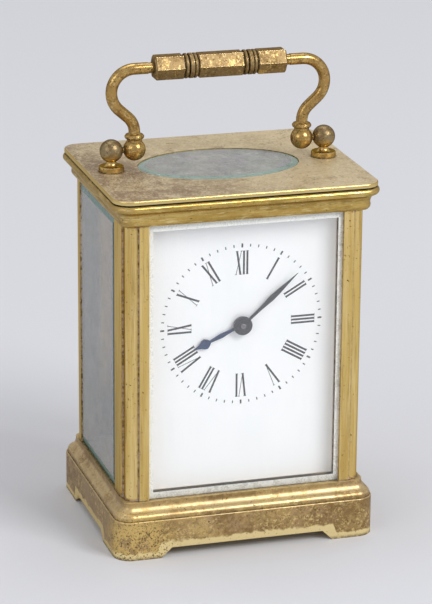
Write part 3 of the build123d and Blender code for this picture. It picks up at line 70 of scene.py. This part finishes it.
# The base's bottom edge, which rises over a cut-out between each pair of feet, in millimetres
front_foot_length = 13.8
side_foot_length = 16.8
foot_height = 3.1
foot_ramp = 1.5
base_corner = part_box("base")[1] / MM
cut_out_half = (base_corner.x - front_foot_length, base_corner.y - side_foot_length)

# Wear on the base, in millimetres: full up to the first distance and gone at the second
bare_band_full, bare_band_gone = 1.6, 2.3
bare_band_wander = 1.8
pitted_corner = Vector((-35, -34, 3))
pitted_full, pitted_gone = 6, 17

# Brown stain on the top plate, in millimetres: full this far to the left, and how far its border wanders
stain_full = 34
stain_wander = 26

# Finials, in millimetres: their feet are clean up to this height, and tarnish sets in over the next few
finial_clean_height = 115.5
finial_clean_blend = 3

# Dial, in millimetres
arbor_low, arbor_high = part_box("centre_arbor")
dial_centre_z = (arbor_low.z + arbor_high.z) / 2 / MM
numeral_inner = 15.6
numeral_outer = 23.0
stroke_width = 0.6
hairline_width = 0.18
stroke_pitch = 1.05
v_width = 2.2
x_width = 1.7
glyph_gap = 0.5
stroke_serif = 0.16
hairline_serif = 0.3
serif_height = 0.22
minute_ring_radius = 24.65
minute_mark_size = (0.85, 0.32)
hour_mark_size = (1.25, 0.52)
print_lift = 0.02
print_thickness = 0.03
numerals = ("XII", "I", "II", "III", "IIII", "V", "VI", "VII", "VIII", "IX", "X", "XI")
hour_degrees = 30
minute_degrees = 6

# Noise gathers about 0.5: how far the level that cuts it into patches moves as their share goes from 1 to 0
noise_spread = 0.27

# A film, stain, bare place, painted shade or painted highlight on brass: colour as on a screen, roughness, and
# how metallic it is
Layer = namedtuple("Layer", "color rough metal")
# Dark brown for corners and grooves: dirt, together with painted shade
dirt_and_shade = Layer((72, 54, 28), 0.75, 0.35)


def linear(red, green, blue):
    """A colour as it looks on a screen, 0 to 255, as the linear values that a shader takes."""
    def one(value):
        value /= 255
        return value / 12.92 if value <= 0.04045 else ((value + 0.055) / 1.055) ** 2.4
    return (one(red), one(green), one(blue), 1.0)


class Finish:
    """A node material, built up from noise, ramps and masks in the object's own coordinates."""

    def __init__(self, name):
        self.material = bpy.data.materials.new(name)
        self.material.use_nodes = True
        self.tree = self.material.node_tree
        self.tree.nodes.clear()
        self.output = self.node("ShaderNodeOutputMaterial")
        self.place = self.node("ShaderNodeTexCoord").outputs["Object"]

    def node(self, kind, **settings):
        made = self.tree.nodes.new(kind)
        for key, value in settings.items():
            setattr(made, key, value)
        return made

    def feed(self, socket, value):
        if isinstance(value, bpy.types.NodeSocket):
            self.tree.links.new(value, socket)
        else:
            socket.default_value = value

    def stretched(self, x=1.0, y=1.0, z=1.0):
        """The object's coordinates with each axis multiplied, to draw a pattern out along the others."""
        scaled = self.node("ShaderNodeVectorMath", operation="MULTIPLY")
        self.feed(scaled.inputs[0], self.place)
        scaled.inputs[1].default_value = (x, y, z)
        return scaled.outputs[0]

    def noise(self, size_mm, detail=4.0, rough=0.55, twist=0.0, place=None, seed=0.0):
        """Cloudy noise with blotches of about the given size."""
        made = self.node("ShaderNodeTexNoise", noise_dimensions="4D")
        self.feed(made.inputs["Vector"], place or self.place)
        made.inputs["W"].default_value = seed
        made.inputs["Scale"].default_value = 1.0 / (size_mm * MM)
        made.inputs["Detail"].default_value = detail
        made.inputs["Roughness"].default_value = rough
        made.inputs["Distortion"].default_value = twist
        return made.outputs["Fac"]

    def step(self, value, low, high):
        """Turns a value into 0 below low and 1 above high, or the other way round if high is the smaller."""
        made = self.node("ShaderNodeMapRange", interpolation_type="SMOOTHSTEP")
        self.feed(made.inputs["Value"], value)
        made.inputs["From Min"].default_value = low
        made.inputs["From Max"].default_value = high
        return made.outputs["Result"]

    def between(self, value, low, high):
        """Spreads 0 to 1 over low to high."""
        made = self.node("ShaderNodeMapRange")
        self.feed(made.inputs["Value"], value)
        made.inputs["To Min"].default_value = low
        made.inputs["To Max"].default_value = high
        return made.outputs["Result"]

    def math(self, operation, first, second=0.0):
        made = self.node("ShaderNodeMath", operation=operation)
        self.feed(made.inputs[0], first)
        self.feed(made.inputs[1], second)
        return made.outputs[0]

    def both(self, first, second):
        """A mask cut down by another mask, or weakened by a number."""
        return self.math("MULTIPLY", first, second)

    def either(self, first, second):
        return self.math("MAXIMUM", first, second)

    def inverse(self, mask):
        return self.math("SUBTRACT", 1.0, mask)

    def mix(self, amount, first, second):
        """Mixes two colours."""
        made = self.node("ShaderNodeMix", data_type="RGBA")
        self.feed(made.inputs["Factor"], amount)
        self.feed(made.inputs[6], first)
        self.feed(made.inputs[7], second)
        return made.outputs[2]

    def blend(self, amount, first, second):
        """Mixes two numbers."""
        made = self.node("ShaderNodeMix", data_type="FLOAT")
        self.feed(made.inputs["Factor"], amount)
        self.feed(made.inputs[2], first)
        self.feed(made.inputs[3], second)
        return made.outputs[0]

    def mix_shaders(self, amount, first, second):
        made = self.node("ShaderNodeMixShader")
        self.feed(made.inputs[0], amount)
        self.tree.links.new(first, made.inputs[1])
        self.tree.links.new(second, made.inputs[2])
        return made.outputs[0]

    def axis(self, index, vector=None):
        made = self.node("ShaderNodeSeparateXYZ")
        self.feed(made.inputs[0], vector or self.place)
        return made.outputs[index]

    def facing(self, index):
        """How squarely the surface faces along an axis, either way."""
        normal = self.node("ShaderNodeTexCoord").outputs["Normal"]
        return self.math("ABSOLUTE", self.axis(index, normal))

    def near(self, point_mm, full_mm, gone_mm):
        """1 up to the first distance from a point, falling to 0 at the second."""
        away = self.node("ShaderNodeVectorMath", operation="DISTANCE")
        self.feed(away.inputs[0], self.place)
        away.inputs[1].default_value = point_mm * MM
        return self.step(away.outputs["Value"], gone_mm * MM, full_mm * MM)

    def wander(self, size_mm, detail, rough, seed, reach_mm):
        """A length that drifts either way over the surface, to make a border uneven."""
        return self.between(self.noise(size_mm, detail, rough, seed=seed), -reach_mm * MM, reach_mm * MM)

    def patches(self, size_mm, share, seed, grain=0.4, soft=0.05, place=None):
        """A mask of ragged patches: about the given share of the surface, with crumbly borders."""
        broad = self.noise(size_mm, 5.0, 0.6, 0.4, place, seed)
        fine = self.noise(max(0.09 * size_mm, 0.4), 3.0, 0.65, 0.0, place, seed + 0.5)
        level = self.blend(grain, broad, fine)
        middle = 0.5 + (0.5 - share) * noise_spread
        return self.step(level, middle - soft, middle + soft)

    def spots(self, size_mm, share, seed):
        """A mask of small sharp spots."""
        return self.patches(size_mm, share, seed, grain=0.2, soft=0.02)

    def crevices(self, reach_mm, low=0.55, high=0.95):
        """1 deep in a corner or groove, 0 on an open face."""
        made = self.node("ShaderNodeAmbientOcclusion", samples=8)
        made.inputs["Distance"].default_value = reach_mm * MM
        return self.step(made.outputs["AO"], high, low)

    def edges(self, reach_mm, low=0.02, high=0.22):
        """1 along sharp edges, found where a rounded normal leaves the face's own."""
        bevel = self.node("ShaderNodeBevel", samples=6)
        bevel.inputs["Radius"].default_value = reach_mm * MM
        face = self.node("ShaderNodeNewGeometry").outputs["Normal"]
        dot = self.node("ShaderNodeVectorMath", operation="DOT_PRODUCT")
        self.feed(dot.inputs[0], bevel.outputs[0])
        self.feed(dot.inputs[1], face)
        return self.step(self.inverse(dot.outputs["Value"]), low, high)

    def bump(self, height, depth_mm, strength):
        made = self.node("ShaderNodeBump")
        made.inputs["Strength"].default_value = strength
        made.inputs["Distance"].default_value = depth_mm * MM
        self.feed(made.inputs["Height"], height)
        return made.outputs[0]

    def surface(self, color, metal, rough, normal=None, coat=0.0, edge_tint=None):
        made = self.node("ShaderNodeBsdfPrincipled")
        self.feed(made.inputs["Base Color"], color)
        self.feed(made.inputs["Metallic"], metal)
        self.feed(made.inputs["Roughness"], rough)
        if normal is not None:
            self.feed(made.inputs["Normal"], normal)
        if edge_tint is not None:
            made.inputs["Specular Tint"].default_value = linear(*edge_tint)
        made.inputs["Coat Weight"].default_value = coat
        return made.outputs[0]

    def show(self, shader):
        self.tree.links.new(shader, self.output.inputs["Surface"])
        return self.material


class Brass(Finish):
    """Bright metal under one layer of tarnish, dirt, wear, painted shade or painted highlight after another.
    """

    def __init__(self, name, color, rough):
        super().__init__(name)
        self.color, self.rough, self.metal = linear(*color), rough, 1.0

    def lay(self, mask, layer, amount=1.0):
        if amount < 1.0:
            mask = self.both(mask, amount)
        self.color = self.mix(mask, self.color, linear(*layer.color))
        self.rough = self.blend(mask, self.rough, layer.rough)
        self.metal = self.blend(mask, self.metal, layer.metal)

    def lay_edges(self, reach_mm, size_mm, share, seed, layer):
        """Wear along sharp edges, in patches of the given size."""
        self.lay(self.both(self.edges(reach_mm), self.patches(size_mm, share, seed)), layer)

    def lay_dirt_and_shade(self, reach_mm, amount, seed):
        """Dark dirt and painted shade in corners and grooves, broken up along its edge."""
        broken = self.between(self.patches(1.2, 0.6, seed), 0.45, 1.0)
        self.lay(self.both(self.crevices(reach_mm), broken), dirt_and_shade, amount)

    def finish(self, pits, depth_mm, edge_tint):
        grain = self.blend(0.5, self.noise(0.5, 3.0, 0.6, seed=3.0), pits)
        normal = self.bump(grain, depth_mm, 0.6)
        return self.show(self.surface(self.color, self.metal, self.rough, normal, edge_tint=edge_tint))


def base_brass():
    """Brown lacquer, mottled, darker and pinker down the sides as painted shade, with a painted highlight
    where its moulding faces up, worn along the bottom and pitted at one corner.
    """
    lacquer = Layer((182, 152, 100), 0.34, 0.6)
    side_shade_lacquer = Layer((150, 126, 98), 0.4, 0.5)
    dark_lacquer = Layer((124, 96, 58), 0.38, 0.55)
    pink_lacquer = Layer((198, 168, 128), 0.38, 0.5)
    gold_speck = Layer((234, 206, 140), 0.26, 0.9)
    brown_speck = Layer((112, 86, 48), 0.44, 0.5)
    shoulder_highlight = Layer((220, 198, 152), 0.3, 0.7)
    bare_corner = Layer((220, 188, 118), 0.3, 0.8)
    bare_band = Layer((246, 224, 164), 0.28, 0.85)
    bright_edge = Layer((240, 216, 152), 0.24, 0.9)
    pit = Layer((78, 56, 30), 0.7, 0.3)

    f = Brass("base_brass", (226, 196, 124), 0.22)
    f.lay(f.patches(10.0, 0.9, 1.0, grain=0.35, soft=0.1), lacquer)
    # Painted shade: the sides, as they face along X, darker and pinker
    f.lay(f.facing(X), side_shade_lacquer, 0.75)
    f.lay(f.patches(18.0, 0.46, 2.0, grain=0.35, soft=0.08), dark_lacquer, 0.8)
    f.lay(f.patches(7.0, 0.3, 3.0, soft=0.08), pink_lacquer, 0.55)
    specked = f.patches(14.0, 0.42, 5.0, grain=0.3, soft=0.08)
    f.lay(f.both(f.patches(1.1, 0.3, 4.0, grain=0.3), specked), gold_speck)
    f.lay(f.both(f.patches(1.4, 0.26, 12.0), specked), brown_speck, 0.8)
    # Painted highlight: pale patches where the moulding faces up
    shoulder = f.step(f.facing(Z), 0.2, 0.5)
    f.lay(f.both(shoulder, f.patches(6.0, 0.66, 15.0, soft=0.08)), shoulder_highlight, 0.6)
    corner = f.near(pitted_corner, pitted_full, pitted_gone)
    f.lay(f.both(corner, f.patches(3.0, 0.62, 14.0)), bare_corner)
    border = f.math("ADD", above_bottom(f), f.wander(3.0, 4.0, 0.6, 9.0, bare_band_wander))
    f.lay(f.step(border, bare_band_gone * MM, bare_band_full * MM), bare_band)
    f.lay_edges(0.7, 1.6, 0.62, 10.0, bright_edge)
    pits = f.both(f.spots(0.6, 0.26, 6.0), corner)
    scattered = f.both(f.spots(0.7, 0.08, 7.0), f.patches(16.0, 0.5, 8.0))
    f.lay(f.either(pits, scattered), pit)
    # Dirt, together with painted shade, in corners and grooves
    f.lay_dirt_and_shade(1.6, 0.9, 11.0)
    return f.finish(f.inverse(pits), 0.04, edge_tint=(206, 196, 178))


def above_bottom(f):
    """The height of a point above the base's bottom edge, which rises over the cut-outs."""
    beyond = []
    for index, half_width in enumerate(cut_out_half):
        past_cut_out = f.math("SUBTRACT", f.math("ABSOLUTE", f.axis(index)), half_width * MM)
        beyond.append(f.step(past_cut_out, 0.0, foot_ramp * MM))
    return f.math("SUBTRACT", f.axis(Z), f.both(f.inverse(f.both(*beyond)), foot_height * MM))


def pillar_brass():
    """Cleaner brass with streaks down it, and brown dirt with painted shade and chalky grime in its grooves.
    """
    olive_streak = Layer((194, 160, 88), 0.24, 0.85)
    pale_streak = Layer((242, 214, 148), 0.22, 0.95)
    brown_streak = Layer((142, 114, 58), 0.34, 0.7)
    spot = Layer((104, 80, 42), 0.6, 0.5)
    bright_edge = Layer((242, 218, 156), 0.24, 1.0)
    chalk = Layer((212, 190, 176), 0.85, 0.0)

    f = Brass("pillar_brass", (228, 196, 118), 0.2)
    down = f.stretched(z=0.05)
    f.lay(f.patches(2.6, 0.46, 21.0, 0.15, 0.14, down), olive_streak, 0.7)
    f.lay(f.patches(1.6, 0.36, 22.0, 0.15, 0.12, down), pale_streak, 0.85)
    f.lay(f.patches(1.4, 0.16, 23.0, 0.3, 0.08, down), brown_streak, 0.55)
    spots = f.spots(0.8, 0.04, 24.0)
    f.lay(spots, spot)
    f.lay_edges(0.3, 1.5, 0.7, 25.0, bright_edge)
    f.lay_dirt_and_shade(1.1, 0.9, 26.0)
    grooves = f.crevices(1.1, 0.45, 0.85)
    f.lay(f.both(grooves, f.patches(1.1, 0.56, 27.0, grain=0.3, soft=0.03)), chalk, 0.9)
    return f.finish(spots, 0.015, edge_tint=(206, 196, 172))


def cornice_brass():
    """Olive brass, browner at the sides as painted shade, dark with dirt and painted shade in its recesses,
    and rubbed bright along its bead.
    """
    olive_film = Layer((184, 152, 80), 0.28, 0.8)
    side_shade_film = Layer((158, 134, 96), 0.36, 0.6)
    brown_streak = Layer((140, 110, 52), 0.34, 0.7)
    pale_streak = Layer((236, 212, 150), 0.24, 1.0)
    spot = Layer((88, 66, 34), 0.6, 0.5)
    bright_edge = Layer((244, 222, 164), 0.24, 1.0)

    f = Brass("cornice_brass", (226, 196, 120), 0.2)
    along = f.stretched(0.25, 0.25, 1.6)
    f.lay(f.patches(6.0, 0.6, 31.0, 0.3, 0.12, along), olive_film)
    # Painted shade: the sides, as they face along X, browner and duller
    f.lay(f.facing(X), side_shade_film, 0.6)
    f.lay(f.patches(3.4, 0.3, 32.0, 0.3, 0.08, along), brown_streak, 0.7)
    f.lay(f.patches(1.6, 0.24, 33.0, 0.3, 0.06, along), pale_streak, 0.8)
    spots = f.spots(0.8, 0.05, 34.0)
    f.lay(spots, spot)
    f.lay_edges(0.35, 1.6, 0.6, 35.0, bright_edge)
    f.lay_dirt_and_shade(2.6, 1.0, 36.0)
    return f.finish(spots, 0.015, edge_tint=(206, 196, 172))


def top_plate_brass():
    """A pale dull film over the flat top, stained brown in places, with a bright rubbed rim."""
    pale_film = Layer((208, 190, 152), 0.4, 0.3)
    dull_film = Layer((186, 166, 130), 0.44, 0.3)
    brown_stain = Layer((138, 114, 90), 0.5, 0.3)
    dark_stain = Layer((132, 106, 76), 0.46, 0.4)
    pale_speck = Layer((226, 212, 182), 0.36, 0.4)
    spot = Layer((96, 74, 46), 0.7, 0.3)
    bright_edge = Layer((240, 218, 158), 0.24, 1.0)

    f = Brass("top_plate_brass", (222, 196, 132), 0.22)
    flat = f.step(f.facing(Z), 0.9, 0.985)
    f.lay(flat, pale_film)
    f.lay(f.both(f.patches(9.0, 0.46, 41.0, grain=0.45, soft=0.08), flat), dull_film, 0.8)
    slanting = f.math("ADD", f.axis(X), f.both(f.axis(Y), 0.5))
    border = f.math("ADD", slanting, f.wander(16.0, 3.0, 0.55, 42.0, stain_wander))
    left = f.step(border, 0.0, -stain_full * MM)
    f.lay(f.both(f.both(left, f.patches(6.0, 0.62, 43.0, grain=0.5)), flat), brown_stain, 0.9)
    f.lay(f.both(f.patches(7.0, 0.2, 44.0, grain=0.45, soft=0.06), flat), dark_stain, 0.75)
    f.lay(f.both(f.patches(1.3, 0.3, 45.0), flat), pale_speck, 0.6)
    spots = f.both(f.spots(0.9, 0.05, 46.0), flat)
    f.lay(spots, spot)
    f.lay_edges(0.5, 1.8, 0.7, 47.0, bright_edge)
    # Dirt, together with painted shade, in corners and grooves
    f.lay_dirt_and_shade(1.1, 0.7, 48.0)
    return f.finish(spots, 0.02, edge_tint=(206, 196, 178))


def handled_brass(name, film_color, film_share, seed, shine, clean_below=None):
    """Brass browned by hands, speckled, and paler where fingers have polished it."""
    film = Layer(film_color, shine + 0.08, 0.8)
    brown_stain = Layer((112, 86, 48), shine + 0.14, 0.7)
    pale_speck = Layer((232, 208, 150), shine, 0.9)
    pit = Layer((84, 62, 32), 0.6, 0.5)
    bright_edge = Layer((238, 216, 160), 0.24, 1.0)

    f = Brass(name, (216, 184, 116), shine)
    tarnish = f.patches(5.0, film_share, seed, grain=0.45)
    if clean_below is not None:
        above = f.step(f.axis(Z), clean_below * MM, (clean_below + finial_clean_blend) * MM)
        tarnish = f.both(tarnish, above)
    f.lay(tarnish, film)
    f.lay(f.patches(2.6, 0.34, seed + 1.0), brown_stain, 0.65)
    f.lay(f.patches(1.0, 0.2, seed + 2.0, grain=0.3), pale_speck, 0.5)
    pits = f.spots(0.7, 0.12, seed + 3.0)
    f.lay(pits, pit)
    f.lay_edges(0.3, 1.2, 0.66, seed + 4.0, bright_edge)
    # Dirt, together with painted shade, in corners and grooves
    f.lay_dirt_and_shade(1.0, 0.9, seed + 5.0)
    return f.finish(pits, 0.014, edge_tint=(112, 94, 60))


def machined(name, color, grain_color, shine):
    """Clean metal with a fine straight grain, as clock plates and wheels have, with painted shade in its
    corners and grooves.
    """
    f = Finish(name)
    lines = f.noise(0.9, 3.0, 0.6, place=f.stretched(z=18.0))
    film = f.step(f.noise(7.0, 4.0, 0.6, 0.3), 0.48, 0.7)
    tone = f.mix(f.both(lines, 0.55), linear(*color), linear(*grain_color))
    tone = f.mix(f.both(film, 0.35), tone, linear(*grain_color))
    # Painted shade: darker brown in corners and grooves
    tone = f.mix(f.both(f.crevices(0.8), 0.45), tone, linear(60, 46, 28))
    rough = f.between(f.blend(0.5, lines, film), shine, shine + 0.22)
    return f.show(f.surface(tone, 1.0, rough, f.bump(lines, 0.006, 0.35)))


def plate_glass(name, tint, film_color, film, bevel_tint_and_reflection_color, bevel, streak=(1.0, 1.0, 0.12), mottle=0.0):
    """Old bevelled glass: clear, with a thin uneven film of dust and painted reflection, and greener where its
    edges are ground away, that colour partly the glass's own tint and partly painted reflection.
    """
    # Upright bevels: the glass's edge tint with darker painted reflection
    side_bevel_tint_and_reflection_color = (58, 88, 78)
    stain_color = (96, 102, 104)
    band_color = (170, 158, 172)
    chip_color = (222, 228, 222)
    f = Finish(name)

    # How much of the clear glass each kind of dirt, wear and painted reflection hides
    streaks = f.noise(2.2, 5.0, 0.6, 0.2, place=f.stretched(*streak))
    dust_and_reflection = f.both(f.between(f.step(streaks, 0.35, 0.7), 0.7, 1.0), film)
    dust_and_reflection = f.both(dust_and_reflection, f.between(f.patches(5.0, 0.5, 60.0, grain=0.5), 1.0, 1.0 - mottle))
    squarest = f.either(f.either(f.facing(X), f.facing(Y)), f.facing(Z))
    ground = f.step(squarest, 0.995, 0.98)
    patchy_bevel = f.between(f.patches(2.6, 0.6, 61.0, grain=0.5), 0.7, 1.0)
    chips = f.both(f.edges(0.35, 0.03, 0.15), f.patches(1.6, 0.4, 62.0, grain=0.5))
    hidden = f.either(f.blend(ground, dust_and_reflection, f.both(patchy_bevel, bevel)), f.both(chips, 0.6))

    # The colours of that dirt, wear and painted reflection
    side_bevel = f.both(f.step(f.facing(Z), 0.15, 0.05), f.step(f.facing(X), 0.9, 0.95))
    slope = f.mix(side_bevel, linear(*bevel_tint_and_reflection_color), linear(*side_bevel_tint_and_reflection_color))
    bands = f.step(f.noise(6.0, 2.0, 0.5, place=f.stretched(*streak), seed=64.0), 0.4, 0.6)
    flat = f.mix(f.both(bands, mottle), linear(*film_color), linear(*band_color))
    stains = f.both(f.patches(3.6, 0.42, 63.0, grain=0.5, soft=0.1), mottle)
    tone = f.mix(ground, f.mix(stains, flat, linear(*stain_color)), slope)
    tone = f.mix(f.both(chips, 0.8), tone, linear(*chip_color))

    clear = f.node("ShaderNodeBsdfPrincipled")
    clear.inputs["Base Color"].default_value = linear(*tint)
    clear.inputs["Transmission Weight"].default_value = 1.0
    clear.inputs["IOR"].default_value = 1.5
    clear.inputs["Roughness"].default_value = 0.02
    body = f.mix_shaders(hidden, clear.outputs[0], f.surface(tone, 0.0, 0.6))

    # Lamps shine straight through, so that the movement and the dial are lit
    paths = f.node("ShaderNodeLightPath")
    lamps = f.either(paths.outputs["Is Shadow Ray"], paths.outputs["Is Diffuse Ray"])
    through = f.node("ShaderNodeBsdfTransparent")
    through.inputs["Color"].default_value = linear(254, 255, 255)
    return f.show(f.mix_shaders(lamps, body, through.outputs[0]))


def enamel():
    """Fired white enamel with a faint orange-peel surface and a few grey specks."""
    f = Finish("enamel")
    clouds = f.step(f.noise(14.0, 3.0, 0.5), 0.3, 0.75)
    specks = f.step(f.noise(0.5, 2.0, 0.5, seed=5.0), 0.745, 0.78)
    color = f.mix(clouds, linear(254, 254, 254), linear(250, 251, 251))
    color = f.mix(f.both(specks, 0.4), color, linear(150, 148, 140))
    return f.show(f.surface(color, 0.0, 0.12, f.bump(f.noise(3.0, 2.0), 0.01, 0.3), coat=0.4))


def blued(name, cool_color, warm_color, rubbed_color):
    """Steel coloured by heat, uneven along its length and rubbed grey at its edges."""
    f = Finish(name)
    heat = f.step(f.noise(6.0, 3.0, 0.5, seed=2.0), 0.35, 0.65)
    color = f.mix(heat, linear(*cool_color), linear(*warm_color))
    color = f.mix(f.both(f.edges(0.15), 0.5), color, linear(*rubbed_color))
    return f.show(f.surface(color, 1.0, f.between(f.noise(0.8, 3.0), 0.24, 0.42)))


def dial_black():
    """Fired black enamel paint, a little thin in places."""
    f = Finish("dial_black")
    thin = f.step(f.noise(0.7, 3.0, 0.6, seed=9.0), 0.45, 0.8)
    color = f.mix(f.both(thin, 0.5), linear(36, 36, 40), linear(80, 82, 86))
    return f.show(f.surface(color, 0.0, 0.3))


# A finish for each material slot, and for a few pieces one of their own
slot_finishes = {
    "base_brass": base_brass(),
    "pillar_brass": pillar_brass(),
    "cornice_brass": cornice_brass(),
    "top_plate_brass": top_plate_brass(),
    "handle_brass": handled_brass("handle_brass", (176, 142, 84), 0.66, seed=51.0, shine=0.14),
    "movement_brass": machined("movement_brass", (214, 184, 116), (178, 148, 88), shine=0.2),
    "platform_brass": machined("platform_brass", (220, 202, 154), (190, 168, 122), shine=0.24),
    "steel": machined("steel", (176, 176, 178), (120, 120, 124), shine=0.18),
    "blued_steel": blued("blued_steel", (46, 76, 122), (50, 60, 92), (120, 128, 140)),
    # The side glasses' grey film is dust with painted reflection, and their teal bevels are edge tint with
    # painted reflection
    "bevelled_glass": plate_glass(
        "bevelled_glass", tint=(232, 242, 238), film_color=(160, 162, 158), film=0.36,
        bevel_tint_and_reflection_color=(116, 152, 142), bevel=0.68, mottle=0.5,
    ),
    "enamel": enamel(),
}
finial_brass = handled_brass(
    "finial_brass", (150, 132, 100), 0.94, seed=71.0, shine=0.24, clean_below=finial_clean_height
)
piece_finishes = {
    "handle_grip": handled_brass("grip_brass", (150, 126, 88), 0.82, seed=81.0, shine=0.4),
    "finial_left": finial_brass,
    "finial_right": finial_brass,
    "minute_hand": blued("dark_steel", (52, 54, 60), (70, 70, 74), (128, 128, 130)),
    # Its near-white bevels are painted reflection, standing for the dial and the floor seen in them
    "front_glass": plate_glass(
        "front_glass", tint=(255, 255, 255), film_color=(244, 246, 248), film=0.04,
        bevel_tint_and_reflection_color=(252, 255, 250), bevel=0.86,
    ),
    "rear_door_glass": plate_glass(
        "rear_door_glass", tint=(250, 253, 251), film_color=(200, 204, 202), film=0.05,
        bevel_tint_and_reflection_color=(150, 170, 160), bevel=0.2,
    ),
    "top_glass": plate_glass(
        "top_glass", tint=(226, 240, 236), film_color=(182, 182, 176), film=0.56,
        bevel_tint_and_reflection_color=(146, 172, 160), bevel=0.62, streak=(1.0, 1.0, 1.0), mottle=0.5,
    ),
}
for entry in frame["record"]["subparts"]:
    name = entry["node"]
    for place in frame["nodes"][name].material_slots:
        place.material = piece_finishes.get(name, slot_finishes[entry["material_slot"]])


# Numerals and minute marks, a thin layer of black on the dial
def glyph_strokes(text):
    """Each stroke of a numeral as (foot x, top x, width), with the numeral centred on zero."""
    widths = {"I": stroke_pitch, "V": v_width + glyph_gap, "X": x_width + glyph_gap}
    start = -sum(widths[letter] for letter in text) / 2
    strokes = []
    for letter in text:
        middle = start + widths[letter] / 2
        if letter == "I":
            strokes.append((middle, middle, stroke_width))
        elif letter == "V":
            strokes.append((middle, middle - v_width / 2 + stroke_width / 2, stroke_width))
            strokes.append((middle, middle + v_width / 2, hairline_width))
        else:
            half = x_width / 2
            reach = half - stroke_width / 2
            strokes.append((middle + reach, middle - reach, stroke_width))
            strokes.append((middle - half, middle + half, hairline_width))
        start += widths[letter]
    return strokes


def add_prism(mesh, corners, low_y, high_y):
    """A flat prism from corners in the dial's plane, between two depths."""
    rings = [[mesh.verts.new((x * MM, y * MM, z * MM)) for x, z in corners] for y in (low_y, high_y)]
    mesh.faces.new(rings[0])
    mesh.faces.new(list(reversed(rings[1])))
    for index in range(len(corners)):
        after = (index + 1) % len(corners)
        mesh.faces.new((rings[0][after], rings[0][index], rings[1][index], rings[1][after]))


def on_dial(across, out, degrees):
    """A point at a distance out along an hour's line and across it, clockwise, as (x, z)."""
    angle = math.radians(degrees)
    x = out * math.sin(angle) + across * math.cos(angle)
    z = out * math.cos(angle) - across * math.sin(angle)
    return x, dial_centre_z + z


def stroke_corners(foot, top, width, degrees):
    """The outline of a numeral's stroke, which flares into a small serif at each end."""
    lean = (top - foot) / (numeral_outer - numeral_inner)
    flare = stroke_serif if width > hairline_width else hairline_serif
    outline = []
    for middle, out, way in ((foot, numeral_inner, 1), (top, numeral_outer, -1)):
        neck = middle + lean * way * serif_height
        sides = [
            (neck - width / 2, out + way * serif_height),
            (middle - width / 2 - flare, out),
            (middle + width / 2 + flare, out),
            (neck + width / 2, out + way * serif_height),
        ]
        outline += sides if way > 0 else list(reversed(sides))
    return [on_dial(across, out, degrees) for across, out in outline]


def mark_corners(length, width, degrees):
    """The outline of a minute or hour mark on its ring."""
    near, far = minute_ring_radius - length / 2, minute_ring_radius + length / 2
    outline = ((-width / 2, near), (-width / 2, far), (width / 2, far), (width / 2, near))
    return [on_dial(across, out, degrees) for across, out in outline]


def make_print():
    mesh = bmesh.new()
    dial_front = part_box("dial")[0].y / MM
    low, high = dial_front - print_lift, dial_front - print_lift + print_thickness
    for hour, text in enumerate(numerals):
        for foot, top, width in glyph_strokes(text):
            add_prism(mesh, stroke_corners(foot, top, width, hour * hour_degrees), low, high)
    for degrees in range(0, 360, minute_degrees):
        size = hour_mark_size if degrees % hour_degrees == 0 else minute_mark_size
        add_prism(mesh, mark_corners(*size, degrees), low, high)
    bmesh.ops.recalc_face_normals(mesh, faces=mesh.faces)
    data = bpy.data.meshes.new("dial_print")
    mesh.to_mesh(data)
    piece = bpy.data.objects.new("dial_print", data)
    bpy.context.collection.objects.link(piece)
    data.materials.append(dial_black())
    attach(piece, "case")


make_print()


# Floor, light and camera
def make_floor():
    bpy.ops.mesh.primitive_plane_add(size=floor_width)
    floor = bpy.context.object
    floor.name = "floor"
    f = Finish("floor")
    paths = f.node("ShaderNodeLightPath")
    mirrored = f.either(paths.outputs["Is Glossy Ray"], paths.outputs["Is Transmission Ray"])
    dull = f.surface(linear(*floor_color), 0.0, 0.9)
    glow = f.node("ShaderNodeEmission")
    glow.inputs["Color"].default_value = linear(*floor_glow_color)
    shown = f.mix_shaders(f.both(mirrored, floor_glow_share), dull, glow.outputs[0])
    floor.data.materials.append(f.show(shown))


def make_world():
    world = bpy.data.worlds.new("studio")
    bpy.context.scene.world = world
    world.use_nodes = True
    background = world.node_tree.nodes["Background"]
    background.inputs["Color"].default_value = world_color
    background.inputs["Strength"].default_value = world_level


def turned_to(place, aim):
    """The turn that points a lamp or camera from its place towards its aim."""
    return (Vector(aim) - Vector(place)).to_track_quat("-Z", "Y").to_matrix()


def add_softbox(name, place, aim, size, power):
    data = bpy.data.lights.new(name, "AREA")
    data.shape = "RECTANGLE"
    data.size, data.size_y = size
    data.energy = power
    lamp = bpy.data.objects.new(name, data)
    bpy.context.collection.objects.link(lamp)
    lamp.location = place
    lamp.rotation_euler = turned_to(place, aim).to_euler()


def make_camera():
    data = bpy.data.cameras.new("camera")
    data.lens = camera_lens
    data.sensor_width = camera_sensor
    camera = bpy.data.objects.new("camera", data)
    bpy.context.collection.objects.link(camera)
    camera.location = camera_place
    turn = turned_to(camera_place, camera_aim) @ Matrix.Rotation(camera_roll, 3, "Z")
    camera.rotation_euler = turn.to_euler()
    bpy.context.scene.camera = camera


make_floor()
make_world()
for name, settings in softboxes.items():
    add_softbox(name, *settings)
make_camera()
bpy.context.scene.view_settings.view_transform = "Standard"
